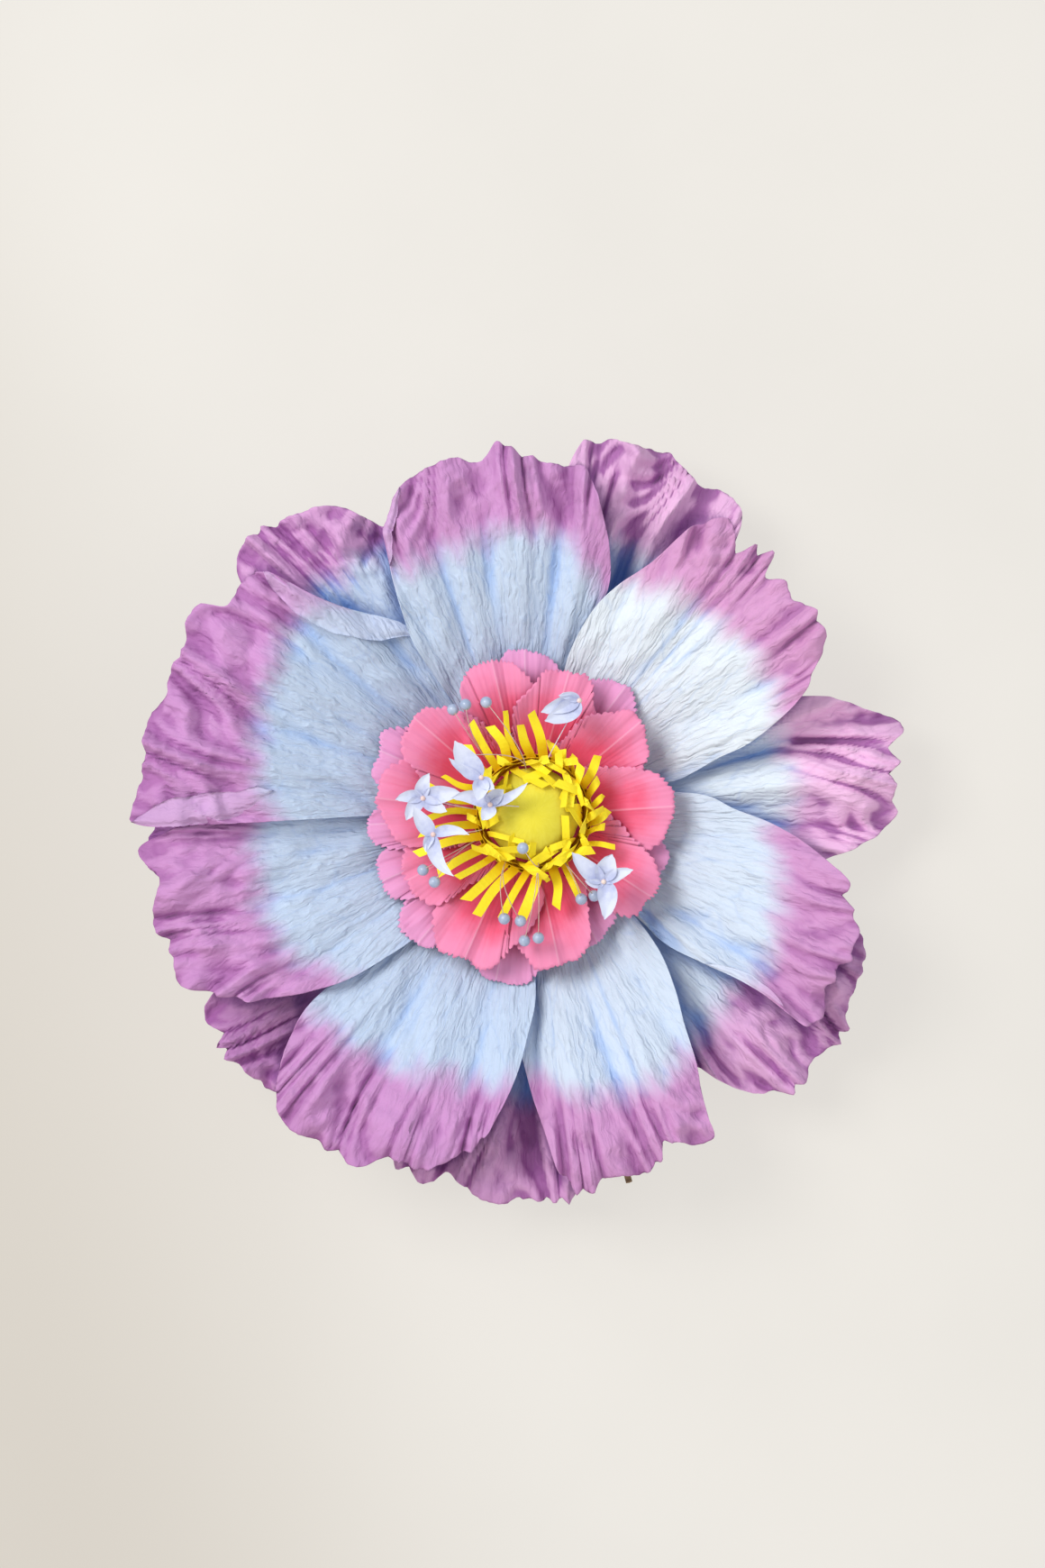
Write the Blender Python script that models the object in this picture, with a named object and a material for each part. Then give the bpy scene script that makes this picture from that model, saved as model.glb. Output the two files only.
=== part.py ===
"""A giant paper flower for a wall, at its real size, as a Blender scene.

Two rings of dyed paper petals are glued to a round foam board. A core of foam
stands on the board and carries a paper-covered ball. Round the core sit two
rings of small crimped petals, and round the ball three bands of cut yellow
paper. Pearl stamens and small star flowers on wires are pushed into the ball.
A wire stem runs from the core down behind the petals.

The flower faces -Y and hangs on a wall at Y = 0, with +Z up. The origin is the
middle of the board's back face. Places in the tables are polar, as seen from
the front: degrees from +X towards +Z, and millimetres from the flower's axis.
A height is the distance from the wall.
"""

import math

import bmesh
import bpy
from mathutils import Vector

MM = 0.001

# Driving dimensions, in millimetres.
PAPER = 1.0
SMALL_PAPER = 0.8
BOARD_RADIUS, BOARD_THICKNESS = 55.0, 10.0
CORE_RADIUS, CORE_BORE = 15.0, 3.2
BALL_RADIUS, BALL_HEIGHT, BALL_X, BALL_Z = 36.0, 82.0, 4.0, 2.0
GAP = 0.4
STEM_RADIUS, STEM_REACH, STEM_BEND = 2.7, 301.0, 4.0
STEM_TURN = 285.5  # degrees, down and a little to the right
STEM_HEIGHT = BOARD_THICKNESS - STEM_RADIUS - GAP
LOOP_HALF_WIDTH, LOOP_TOP, LOOP_FOOT, LOOP_RADIUS = 9.0, 78.0, 36.0, 1.5
# Large petals: the radius of their feet, the share of their angle that a foot fills,
# and for each ring the foot's height, the rise to the rim and the lap over the next petal.
PETAL_FOOT, PETAL_REACH, FOOT_SHARE = 22.0, 290.0, 0.86
BACK_FOOT_HEIGHT, BACK_RISE, BACK_LAP = 13.0, 42.0, 2.0
FRONT_FOOT_HEIGHT, FRONT_RISE, FRONT_LAP = 25.0, 92.0, 6.0
PLEAT_HEIGHT, PLEATS_IN_CIRCLE = 5.0, 22.0
# Small petals: the head's length as a share of the tip radius, how far round its rim
# runs in degrees, the foot's half width, and the lap and cup of its anticlockwise side.
HEAD_SHARE, HEAD_SWING, SMALL_FOOT_HALF_WIDTH = 0.44, 108.0, 4.0
SMALL_LAP, SMALL_CUP = 2.3, 2.4
MAUVE_FOOT_HEIGHT, MAUVE_RISE = 34.0, 33.0
PINK_FOOT_HEIGHT, PINK_RISE = 42.5, 44.0
# Fringe bands: each one's strips, foot radius and foot height.
FRINGE_PAPER, BAND_TURN, RING_HEIGHT, STRIP_WIDTH = 0.6, -8.0, 14.0, 6.0
INNER_BAND, MIDDLE_BAND, OUTER_BAND = (22, 38.2, 64.0), (22, 41.0, 65.0), (29, 43.5, 64.0)
PEARL_RADIUS, WIRE_RADIUS, WIRE_SIDES = 4.4, 0.55, 6
STAR_HUB, STAR_RISE = 3.0, 5.0

BLUE, PURPLE = (0.55, 0.68, 0.88), (0.55, 0.28, 0.56)
PINK, MAUVE = (0.80, 0.28, 0.44), (0.74, 0.40, 0.62)
YELLOW, PEARL_GREY, PALE = (0.90, 0.72, 0.02), (0.50, 0.58, 0.72), (0.78, 0.82, 0.92)
KRAFT, BOARD_WHITE, TWINE = (0.22, 0.16, 0.09), (0.85, 0.84, 0.80), (0.55, 0.42, 0.26)

# Each outline runs anticlockwise up one side of the petal, along its rim and
# down the other side.
FRONT_PETALS = {
    "front_petal_top": [
        (77, 100), (73, 145), (70.5, 185), (73, 215), (77, 244), (80.5, 269), (84.3, 270), (88, 272),
        (91.8, 278), (94.5, 287), (97, 275), (99, 273), (101.5, 279), (107, 276), (111, 270),
        (116, 249), (119, 217), (121.5, 185), (123.7, 153), (122, 105),
    ],
    "front_petal_upper_right": [
        (16, 85), (13.5, 119), (17, 155), (18.2, 179), (21, 206), (24, 231), (27, 245), (29.7, 259),
        (34, 268), (37.5, 267), (39.7, 264), (42.5, 267), (44.8, 260), (47, 272), (49.6, 267),
        (52, 260), (56, 271), (60, 257), (61.8, 240), (64, 217), (69, 189), (73, 162), (76, 122), (72, 88),
    ],
    "front_petal_right": [
        (321, 95), (317, 140), (320, 175), (322.4, 205), (323.3, 243), (323, 266), (326, 274),
        (328.6, 270), (330.8, 261), (334.7, 267), (337.5, 265), (340.8, 268), (343, 260), (345.5, 252),
        (348.7, 248), (351.2, 234), (354.7, 213), (358.5, 187), (362, 160), (367, 137), (372, 95),
    ],
    "front_petal_lower_right": [
        (271, 90), (267, 125), (266.5, 165), (269, 190), (271.5, 222), (273.8, 250), (275.3, 274),
        (278.5, 290), (281.7, 284), (284.6, 283), (287.7, 287), (290.8, 282), (292.2, 272), (294, 269),
        (296.8, 284), (300.2, 284), (301, 268), (302, 252), (304.3, 230), (307, 200), (310.5, 175),
        (314.5, 145), (318, 105),
    ],
    "front_petal_lower_left": [
        (227, 90), (223.5, 130), (221, 175), (220.5, 215), (222, 240), (225, 267), (228, 287),
        (230.8, 298), (233.8, 299), (237, 294), (240.3, 295), (243.1, 297), (245.5, 291), (247.8, 281),
        (252.8, 280), (256.5, 270), (261.5, 252), (264.5, 227), (267.5, 199), (269.9, 170),
        (272.6, 138), (271, 95),
    ],
    "front_petal_left": [
        (179, 95), (176, 135), (175.5, 175), (177, 210), (179.5, 240), (182, 270), (184.2, 297),
        (186.8, 297), (189.8, 285), (193.4, 293), (196.5, 298), (200.3, 290), (203.5, 296), (206, 294),
        (209.6, 273), (213, 256), (216.9, 228), (219.6, 207), (222.2, 186), (224.6, 157),
        (227, 125), (222, 92),
    ],
    "front_petal_upper_left": [
        (126, 95), (121.5, 135), (122, 171), (126.5, 192), (131, 212), (134, 235), (137.2, 275),
        (141.5, 283), (145, 280), (147.1, 298), (150.6, 300), (154.2, 292), (157.6, 296), (161, 291),
        (164.5, 298), (168.4, 299), (171.7, 295), (176, 301), (180.5, 300), (181.6, 276), (181.2, 245),
        (179.5, 218), (173.5, 192), (175.5, 173), (178.6, 149), (176, 95),
    ],
}
BACK_PETALS = {
    "back_petal_upper_right": [
        (59, 90), (53, 165), (52, 235), (52.5, 265), (55, 289), (59, 295), (62.4, 290), (66, 297),
        (69.1, 303), (73.4, 299), (77.6, 299), (81, 293), (83.5, 272), (84, 220), (81, 150), (75, 90),
    ],
    "back_petal_right": [
        (-2, 90), (-10, 165), (-10, 215), (-7, 244), (-3.5, 270), (0.2, 290), (3, 285), (6.8, 285),
        (10.3, 288), (14.4, 298), (17, 283), (20.7, 258), (23.5, 235), (26, 190), (24, 130), (19, 90),
    ],
    "back_petal_lower_right": [
        (309, 90), (303, 160), (302, 212), (304.8, 242), (308.2, 273), (312, 291), (316.5, 298),
        (319, 292), (324, 299), (328, 294), (331.5, 289), (335, 284), (338.3, 285), (341, 268),
        (341, 215), (338, 150), (331, 90),
    ],
    "back_petal_bottom": [
        (254, 90), (249, 160), (247, 230), (248, 282), (252, 292), (255.5, 295), (257.4, 284),
        (260.5, 293), (265, 301), (269.5, 294), (272, 299), (275.3, 299), (279, 291), (281.5, 260),
        (282, 205), (281, 150), (277, 90),
    ],
    "back_petal_lower_left": [
        (213, 90), (208, 160), (206, 225), (208.5, 268), (211, 291), (214.7, 293), (218, 298),
        (221.2, 296), (224, 293), (227, 297), (231, 285), (235, 240), (237, 180), (234, 90),
    ],
    "back_petal_left": [
        (168, 90), (163, 160), (163, 220), (167, 268), (172, 290), (177, 296), (181, 295),
        (184.5, 299), (188.5, 294), (193, 268), (197, 220), (197, 160), (191, 90),
    ],
    "back_petal_upper_left": [
        (120, 90), (113, 160), (112.5, 215), (115, 245), (118.5, 263), (121.2, 281), (124.6, 291),
        (127.8, 295), (131, 301), (134.9, 306), (138.4, 302), (141, 285), (143.5, 240),
        (144.5, 165), (141, 90),
    ],
}

# Direction in degrees, tip radius and half width in millimetres.
MAUVE_PETALS = [
    (91, 127, 31), (53, 122, 32), (18, 112, 30), (336, 112, 31), (299, 112, 31),
    (259, 129, 33), (229, 129, 30), (204, 124, 27), (183, 121, 26), (156, 126, 30),
]
PINK_PETALS = [
    (103, 124, 31), (74, 117, 31), (40, 112, 32), (4, 112, 35), (327, 113, 31),
    (282, 117, 35), (246, 123, 34), (208, 104, 30), (173, 113, 33), (139, 114, 34),
]
# Pearls on one folded wire: their places as degrees, radius and height.
STAMENS = [
    ((125, 100, 100), (119, 98, 106)),
    ((110, 93, 108), (136, 67, 118)),
    ((207, 90, 101), (215, 87, 107)),
    ((257, 80, 108), (266, 80, 104)),
    ((268.5, 95, 100), (275, 93, 105)),
    ((303, 75, 108), (310, 79, 104)),
    ((261, 24, 130),),
]
# Star flowers: place as degrees, radius and height, with each petal's direction, length and width.
STARS = [
    ((66, 97, 112), [(150, 15, 6), (194, 28, 10), (226, 28, 13)]),
    ((139.5, 46, 143), [(136, 31, 14), (160, 26, 6), (268, 16, 10), (300, 12, 8)]),
    ((170, 81, 118), [(100, 18, 9), (15, 27, 11), (165, 19, 8), (217, 19, 9), (325, 19, 9)]),
    ((190.5, 73, 129), [(22, 25, 7), (133, 23, 10), (225, 13, 6), (268, 32, 9)]),
    ((162, 30, 131), [(18, 30, 6), (68, 14, 9), (148, 27, 9), (262, 12, 9)]),
    ((319.5, 76, 118), [(32, 22, 8), (82, 20, 13), (144, 30, 11), (200, 13, 6), (290, 26, 12)]),
]
# Tips of the strips that fall outwards over the pink petals, as degrees and radius from the ball.
FALLING_TIPS = [
    (3, 58), (15, 56), (28, 57), (42, 67), (54, 55), (66, 54), (79, 58), (91, 78), (98, 69), (105, 82),
    (116, 75), (124, 85), (134, 74), (157, 75), (165, 88), (183, 84), (190, 88), (199, 95), (212, 86),
    (220, 76), (232, 84), (241, 89), (253, 84), (264, 80), (284, 74), (299, 75), (318, 62),
    (338, 68), (350, 56),
]


def clear_scene():
    for old in list(bpy.data.objects):
        bpy.data.objects.remove(old)


def plain_material(name, colour, roughness=0.8):
    material = bpy.data.materials.new(name)
    material.use_nodes = True
    shader = material.node_tree.nodes["Principled BSDF"]
    shader.inputs["Base Color"].default_value = (*colour, 1.0)
    shader.inputs["Roughness"].default_value = roughness
    shader.inputs["Metallic"].default_value = 0.0
    return material


def polar(degrees, radius, height):
    """The point at this direction and radius as seen from the front, this far from the wall."""
    turn = math.radians(degrees)
    return Vector((radius * math.cos(turn), -height, radius * math.sin(turn))) * MM


def ease(low, high, value):
    share = min(1.0, max(0.0, (value - low) / (high - low)))
    return share * share * (3.0 - 2.0 * share)


def add_object(name, mesh, material, smooth=True):
    mesh.materials.append(material)
    if smooth:
        mesh.shade_smooth()
    made = bpy.data.objects.new(name, mesh)
    bpy.context.scene.collection.objects.link(made)
    return made


def sheet_mesh(name, rows):
    """A mesh over a grid of points, wound so that it faces the front."""
    mesh = bpy.data.meshes.new(name)
    across = len(rows[0])
    faces = [
        (r * across + c, (r + 1) * across + c, (r + 1) * across + c + 1, r * across + c + 1)
        for r in range(len(rows) - 1)
        for c in range(across - 1)
    ]
    mesh.from_pydata([point for row in rows for point in row], [], faces)
    return mesh


def thicken(sheet, millimetres):
    solid = sheet.modifiers.new("thickness", "SOLIDIFY")
    solid.thickness = millimetres * MM
    solid.offset = 0.0


def petal_height(radius, degrees, middle, half, foot_height, rise, tilt):
    """The height of a large petal: a bowl that flattens at the rim, twisted so that
    its anticlockwise side lies over the next petal, with pleats that open at the rim."""
    out = ease(PETAL_FOOT, PETAL_REACH, radius)
    aside = (degrees - middle) / half
    lap = tilt * aside * ease(25.0, 70.0, radius) * (1.0 - 0.5 * ease(190.0, 260.0, radius))
    wave = math.sin(math.radians(degrees * PLEATS_IN_CIRCLE + middle * 7.0))
    pleat = PLEAT_HEIGHT * wave * ease(185.0, 285.0, radius)
    return foot_height + rise * out + lap + pleat


def large_petal(name, outline, foot_height, rise, tilt, rings, material):
    first, last = outline[0][0], outline[-1][0]
    middle, half = (first + last) / 2.0, abs(last - first) / 2.0
    rows = []
    for ring in range(rings + 1):
        out = ring / rings
        row = []
        for index, (degrees, radius) in enumerate(outline):
            along = index / (len(outline) - 1)
            foot_degrees = middle + half * FOOT_SHARE * (2.0 * along - 1.0)
            foot = polar(foot_degrees, PETAL_FOOT, 0.0)
            place = foot.lerp(polar(degrees, radius, 0.0), out) / MM
            here = math.hypot(place.x, place.z)
            turn = math.degrees(math.atan2(place.z, place.x))
            turn += 360.0 * round((middle - turn) / 360.0)
            height = petal_height(here, turn, middle, half, foot_height, rise, tilt)
            row.append(Vector((place.x, -height, place.z)) * MM)
        rows.append(row)
    thicken(add_object(name, sheet_mesh(name, rows), material), PAPER)


def small_petal(name, direction, tip, half_width, foot_height, rise, material):
    """A crimped petal: a narrow foot at the core and a round head. Its anticlockwise
    side lies over the next petal."""
    head_length = HEAD_SHARE * tip
    head = tip - head_length
    rings, across = 4, 8
    rows = []
    for ring in range(rings + 1):
        out = ring / rings
        row = []
        for index in range(across):
            side = 2.0 * index / (across - 1) - 1.0
            swing = math.radians(HEAD_SWING) * side
            rim = Vector((head + head_length * math.cos(swing), half_width * math.sin(swing)))
            foot = Vector((CORE_RADIUS + 3.0, SMALL_FOOT_HALF_WIDTH * side))
            place = foot.lerp(rim, out)
            aside = math.degrees(math.atan2(place.y, place.x))
            cup = SMALL_CUP * max(0.0, place.y / half_width) ** 2
            lap = SMALL_LAP * aside / 18.0
            height = foot_height + rise * ease(14.0, 118.0, place.length) + lap + cup
            row.append(polar(direction + aside, place.length, height))
        rows.append(row)
    thicken(add_object(name, sheet_mesh(name, rows), material), SMALL_PAPER)


def fringe_band(name, band, strip_path, material):
    """A band of paper wound round the ball, its front edge cut into strips.
    strip_path(strip, turn, share) gives the place of a strip at that share of its length."""
    strips, foot_radius, foot_height = band
    steps = 2
    mesh = bpy.data.meshes.new(name)
    shape = bmesh.new()
    middle = Vector((BALL_X, 0.0, BALL_Z)) * MM
    half_turn = math.degrees(0.5 * STRIP_WIDTH / foot_radius)
    turns = [strip * 360.0 / strips + BAND_TURN for strip in range(strips)]
    edges = [turn + side * half_turn for turn in turns for side in (-1, 1)]
    front = foot_height + RING_HEIGHT
    low = [shape.verts.new(middle + polar(edge, foot_radius, foot_height)) for edge in edges]
    high = [shape.verts.new(middle + polar(edge, foot_radius, front)) for edge in edges]
    for index in range(2 * strips):
        after = (index + 1) % (2 * strips)
        shape.faces.new((low[index], low[after], high[after], high[index]))
    for strip, turn in enumerate(turns):
        left, right = high[2 * strip], high[2 * strip + 1]
        aside = polar(turn + 90.0, 0.5 * STRIP_WIDTH, 0.0)
        for step in range(1, steps + 1):
            centre = middle + strip_path(strip, turn, step / steps)
            new_left, new_right = shape.verts.new(centre - aside), shape.verts.new(centre + aside)
            shape.faces.new((left, right, new_right, new_left))
            left, right = new_left, new_right
    shape.to_mesh(mesh)
    shape.free()
    thicken(add_object(name, mesh, material), FRINGE_PAPER)


def hugging_strip(strip, turn, share):
    """Lies on the ball, bent over towards its front."""
    radius = INNER_BAND[1]
    reach = math.radians(-4.0 + (46.0 + 12.0 * math.sin(2.4 * strip)) * share)
    return polar(turn, radius * math.cos(reach), BALL_HEIGHT + radius * math.sin(reach))


def standing_strip(strip, turn, share):
    """Stands out past the ball and leans outwards."""
    length = 27.0 + 5.0 * math.sin(1.7 * strip)
    return polar(turn, MIDDLE_BAND[1] + 9.0 * share ** 1.5, 80.0 + length * share)


def falling_strip(strip, turn, share):
    """Falls outwards over the pink petals, to its own tip."""
    degrees, radius = FALLING_TIPS[strip]
    foot = polar(turn, OUTER_BAND[1], 0.0)
    arch = 19.0 * math.sin(math.radians(25.0 + 90.0 * share)) + 2.0 * math.sin(2.3 * strip) * share
    return foot.lerp(polar(degrees, radius, 0.0), share) + polar(0.0, 0.0, 74.0 + arch)


def swept(name, path, radii, sides, material):
    """A closed tube along a path, with a radius for each of its points."""
    mesh = bpy.data.meshes.new(name)
    shape = bmesh.new()
    rings = []
    side = None
    for index, point in enumerate(path):
        before, after = path[max(0, index - 1)], path[min(len(path) - 1, index + 1)]
        along = (after - before).normalized()
        if side is None:
            side = along.orthogonal().normalized()
        side = (side - along * side.dot(along)).normalized()
        up = along.cross(side)
        if index in (0, len(path) - 1):
            rings.append([shape.verts.new(point)])
            continue
        rings.append([
            shape.verts.new(point + (side * math.cos(a) + up * math.sin(a)) * radii[index])
            for a in (2.0 * math.pi * k / sides for k in range(sides))
        ])
    for inner, outer in zip(rings, rings[1:]):
        for k in range(sides):
            after = (k + 1) % sides
            corners = [
                inner[k % len(inner)], inner[after % len(inner)],
                outer[after % len(outer)], outer[k % len(outer)],
            ]
            shape.faces.new(list(dict.fromkeys(corners)))
    bmesh.ops.recalc_face_normals(shape, faces=shape.faces)
    shape.to_mesh(mesh)
    shape.free()
    return add_object(name, mesh, material)


def bezier(a, b, c, d, share):
    back = 1.0 - share
    return a * back**3 + b * (3 * back**2 * share) + c * (3 * back * share**2) + d * share**3


def ball_centre():
    return Vector((BALL_X, -BALL_HEIGHT, BALL_Z)) * MM


def root_on_ball(towards, spread):
    """A point just off the ball's front, on the side that a wire leaves for."""
    turn = math.atan2(towards.z, towards.x)
    out = math.radians(spread)
    normal = Vector((math.sin(out) * math.cos(turn), -math.cos(out), math.sin(out) * math.sin(turn)))
    return ball_centre() + normal * (BALL_RADIUS + WIRE_RADIUS + 2 * GAP) * MM, normal


def wire_to(end, spread, arrival):
    """Points of a wire from the ball's front, out over the fringe. It reaches end from the arrival side."""
    root, normal = root_on_ball(end - ball_centre(), spread)
    bend = root + normal * 14.0 * MM
    return [bezier(root, bend, end + Vector(arrival) * MM, end, k / 6.0) for k in range(7)]


def pearl_stamen(number, places, material):
    """One wire folded at the ball, with a pearl on each end, or a single one."""
    inner = 4.0 if len(places) == 1 else 22.0 + 8.0 * (number % 2)
    spreads = (inner, inner + 6.0)
    paths = [wire_to(polar(*place), spread, (0, -6, 0)) for place, spread in zip(places, spreads)]
    path = paths[0][::-1] + paths[-1] if len(paths) > 1 else paths[0]
    radii = [WIRE_RADIUS * MM] * len(path)
    ends = ((0, 1), (-1, -2)) if len(paths) > 1 else ((-1, -2),)
    for end, beyond in ends:
        outwards = (path[end] - path[beyond]).normalized()
        pearl = PEARL_RADIUS * MM
        bead = [
            (path[end] + outwards * (pearl * (1.0 - math.cos(a))), pearl * math.sin(a))
            for a in (math.radians(d) for d in (15, 45, 75, 105, 135, 160, 180))
        ]
        for point, radius in bead:
            if end == 0:
                path.insert(0, point)
                radii.insert(0, radius)
            else:
                path.append(point)
                radii.append(radius)
    swept(f"pearl_stamen_{number}", path, radii, WIRE_SIDES, material)


def star_flower(number, place, petals, material):
    """A small flower of separate narrow petals on a hub, on its own wire."""
    name = f"star_flower_{number}"
    shape = bmesh.new()
    hub = shape.verts.new((0.0, 0.0, 0.0))
    ordered = sorted(petals)
    turns = [petal[0] for petal in ordered]
    after = turns[1:] + [turns[0] + 360.0]
    waists = [shape.verts.new(polar((a + b) / 2.0, STAR_HUB, 0.5)) for a, b in zip(turns, after)]
    for index, (turn, length, width) in enumerate(ordered):
        aside = polar(turn + 90.0, 0.5 * width, 0.0)
        belly = polar(turn, 0.62 * length, 0.45 * STAR_RISE)
        tip = shape.verts.new(polar(turn, length, STAR_RISE))
        right, left = shape.verts.new(belly - aside), shape.verts.new(belly + aside)
        middle = shape.verts.new(belly)
        shape.faces.new((hub, waists[index - 1], right, middle))
        shape.faces.new((hub, middle, left, waists[index]))
        shape.faces.new((middle, right, tip))
        shape.faces.new((middle, tip, left))
    mesh = bpy.data.meshes.new(name)
    shape.to_mesh(mesh)
    shape.free()
    star = add_object(name, mesh, material, smooth=False)
    thicken(star, SMALL_PAPER)
    star.location = polar(*place)
    path = wire_to(star.location, 42.0, (0, 10, 0))
    path.append(path[-1] + Vector((0.0, -2.5, 0.0)) * MM)
    wire = swept(name + "_wire", path, [WIRE_RADIUS * MM] * len(path), WIRE_SIDES, material)
    wire.hide_render = True
    wire.display_type = "WIRE"
    join = star.modifiers.new("wire", "BOOLEAN")
    join.operation = "UNION"
    join.object = wire


def cylinder(name, radius, low, high, segments, material):
    """A turned piece on the flower's axis, between two heights."""
    shape = bmesh.new()
    bmesh.ops.create_cone(
        shape, cap_ends=True, segments=segments,
        radius1=radius * MM, radius2=radius * MM, depth=(high - low) * MM,
    )
    mesh = bpy.data.meshes.new(name)
    shape.to_mesh(mesh)
    shape.free()
    made = add_object(name, mesh, material, smooth=False)
    made.rotation_euler = (math.radians(90.0), 0.0, 0.0)
    made.location = (0.0, -(low + high) / 2.0 * MM, 0.0)
    return made


def cut(target, cutter):
    cutter.hide_render = True
    cutter.display_type = "WIRE"
    hole = target.modifiers.new("cut", "BOOLEAN")
    hole.operation = "DIFFERENCE"
    hole.object = cutter


def box(name, size, centre, turn, material):
    shape = bmesh.new()
    bmesh.ops.create_cube(shape, size=1.0)
    mesh = bpy.data.meshes.new(name)
    bmesh.ops.scale(shape, vec=Vector(size) * MM, verts=shape.verts)
    shape.to_mesh(mesh)
    shape.free()
    made = add_object(name, mesh, material, smooth=False)
    made.location = Vector(centre) * MM
    made.rotation_euler = (0.0, math.radians(turn), 0.0)
    return made


def backing_board(material):
    board = cylinder("backing_board", BOARD_RADIUS, 0.0, BOARD_THICKNESS, 40, material)
    stem_wide = 2 * STEM_RADIUS + 2 * GAP
    middle = polar(STEM_TURN, BOARD_RADIUS / 2 + 2.0, 0.0) / MM
    stem_slot = box(
        "stem_slot", (BOARD_RADIUS + 12.0, 2 * stem_wide, stem_wide),
        (middle.x, -BOARD_THICKNESS, middle.z), -STEM_TURN, material,
    )
    cut(board, stem_slot)
    loop_deep = 2 * LOOP_RADIUS + 2 * GAP
    loop_slot = box(
        "loop_slot", (2 * LOOP_HALF_WIDTH + loop_deep + 1.0, 2 * loop_deep, BOARD_RADIUS),
        (0.0, -BOARD_THICKNESS, LOOP_FOOT - 4.0 + BOARD_RADIUS / 2), 0.0, material,
    )
    cut(board, loop_slot)


def foam_core(material):
    front = BALL_HEIGHT - BALL_RADIUS - 1.0
    core = cylinder("foam_core", CORE_RADIUS, BOARD_THICKNESS + GAP, front, 24, material)
    bore = cylinder("core_bore", CORE_BORE, 0.0, front - 12.0, 16, material)
    cut(core, bore)


def centre_ball(material):
    shape = bmesh.new()
    bmesh.ops.create_uvsphere(shape, u_segments=20, v_segments=12, radius=BALL_RADIUS * MM)
    mesh = bpy.data.meshes.new("centre_ball")
    shape.to_mesh(mesh)
    shape.free()
    ball = add_object("centre_ball", mesh, material)
    ball.location = ball_centre()
    ball.rotation_euler = (math.radians(90.0), 0.0, 0.0)


def wire_stem(material):
    """From the core back to the board, then round a bend and down behind the petals."""
    down = polar(STEM_TURN, 1.0, 0.0) / MM
    start = Vector((0.0, -(BALL_HEIGHT - BALL_RADIUS - 15.0), 0.0)) * MM
    path = [start, start + Vector((0.0, 0.0005, 0.0))]
    for degrees in (0, 30, 60, 90):
        a = math.radians(degrees)
        away, back = STEM_BEND * (1.0 - math.cos(a)), STEM_BEND * math.sin(a)
        path.append(Vector((0.0, -(STEM_HEIGHT + STEM_BEND - back), 0.0)) * MM + down * away * MM)
    for radius in (40.0, 120.0, 200.0, STEM_REACH - 0.5, STEM_REACH):
        path.append(polar(STEM_TURN, radius, STEM_HEIGHT))
    swept("wire_stem", path, [STEM_RADIUS * MM] * len(path), 10, material)


def hanging_loop(material):
    """A bight of twine whose two legs lie in the board's slot."""
    height = BOARD_THICKNESS - LOOP_RADIUS - GAP
    left = Vector((-LOOP_HALF_WIDTH, -height, LOOP_FOOT))
    right = Vector((LOOP_HALF_WIDTH, -height, LOOP_FOOT))
    cap = Vector((0.0, 0.0, 0.5))
    path = [left, left + cap]
    straight = LOOP_TOP - LOOP_HALF_WIDTH
    for degrees in range(180, -1, -20):
        a = math.radians(degrees)
        path.append(Vector((
            LOOP_HALF_WIDTH * math.cos(a), -height, straight + LOOP_HALF_WIDTH * math.sin(a)
        )))
    path += [right + cap, right]
    swept("hanging_loop", [p * MM for p in path], [LOOP_RADIUS * MM] * len(path), 8, material)


def main():
    clear_scene()
    petal_paper = plain_material("petal_paper", BLUE)
    back_paper = plain_material("back_petal_paper", PURPLE)
    pink_paper, mauve_paper = plain_material("pink_paper", PINK), plain_material("mauve_paper", MAUVE)
    yellow_paper = plain_material("yellow_paper", YELLOW)
    pearl = plain_material("pearl", PEARL_GREY, 0.4)
    pale_paper = plain_material("pale_paper", PALE)
    kraft, foam = plain_material("kraft_tape", KRAFT), plain_material("foam", BOARD_WHITE)
    twine = plain_material("twine", TWINE)

    backing_board(foam)
    foam_core(foam)
    wire_stem(kraft)
    hanging_loop(twine)
    centre_ball(yellow_paper)
    for name, outline in BACK_PETALS.items():
        large_petal(name, outline, BACK_FOOT_HEIGHT, BACK_RISE, BACK_LAP, 4, back_paper)
    for name, outline in FRONT_PETALS.items():
        large_petal(name, outline, FRONT_FOOT_HEIGHT, FRONT_RISE, FRONT_LAP, 6, petal_paper)
    for number, petal in enumerate(MAUVE_PETALS, 1):
        small_petal(f"mauve_petal_{number}", *petal, MAUVE_FOOT_HEIGHT, MAUVE_RISE, mauve_paper)
    for number, petal in enumerate(PINK_PETALS, 1):
        small_petal(f"pink_petal_{number}", *petal, PINK_FOOT_HEIGHT, PINK_RISE, pink_paper)
    fringe_band("fringe_band_inner", INNER_BAND, hugging_strip, yellow_paper)
    fringe_band("fringe_band_middle", MIDDLE_BAND, standing_strip, yellow_paper)
    fringe_band("fringe_band_outer", OUTER_BAND, falling_strip, yellow_paper)
    for number, places in enumerate(STAMENS, 1):
        pearl_stamen(number, places, pearl)
    for number, (place, petals) in enumerate(STARS, 1):
        star_flower(number, place, petals, pale_paper)


main()
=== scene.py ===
# Giant paper flower: the finished look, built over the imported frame.
# Places are read from the front: degrees from +X towards +Z, then millimetres from the axis.
# A height is how far a thing stands out from the wall, in millimetres.

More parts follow.
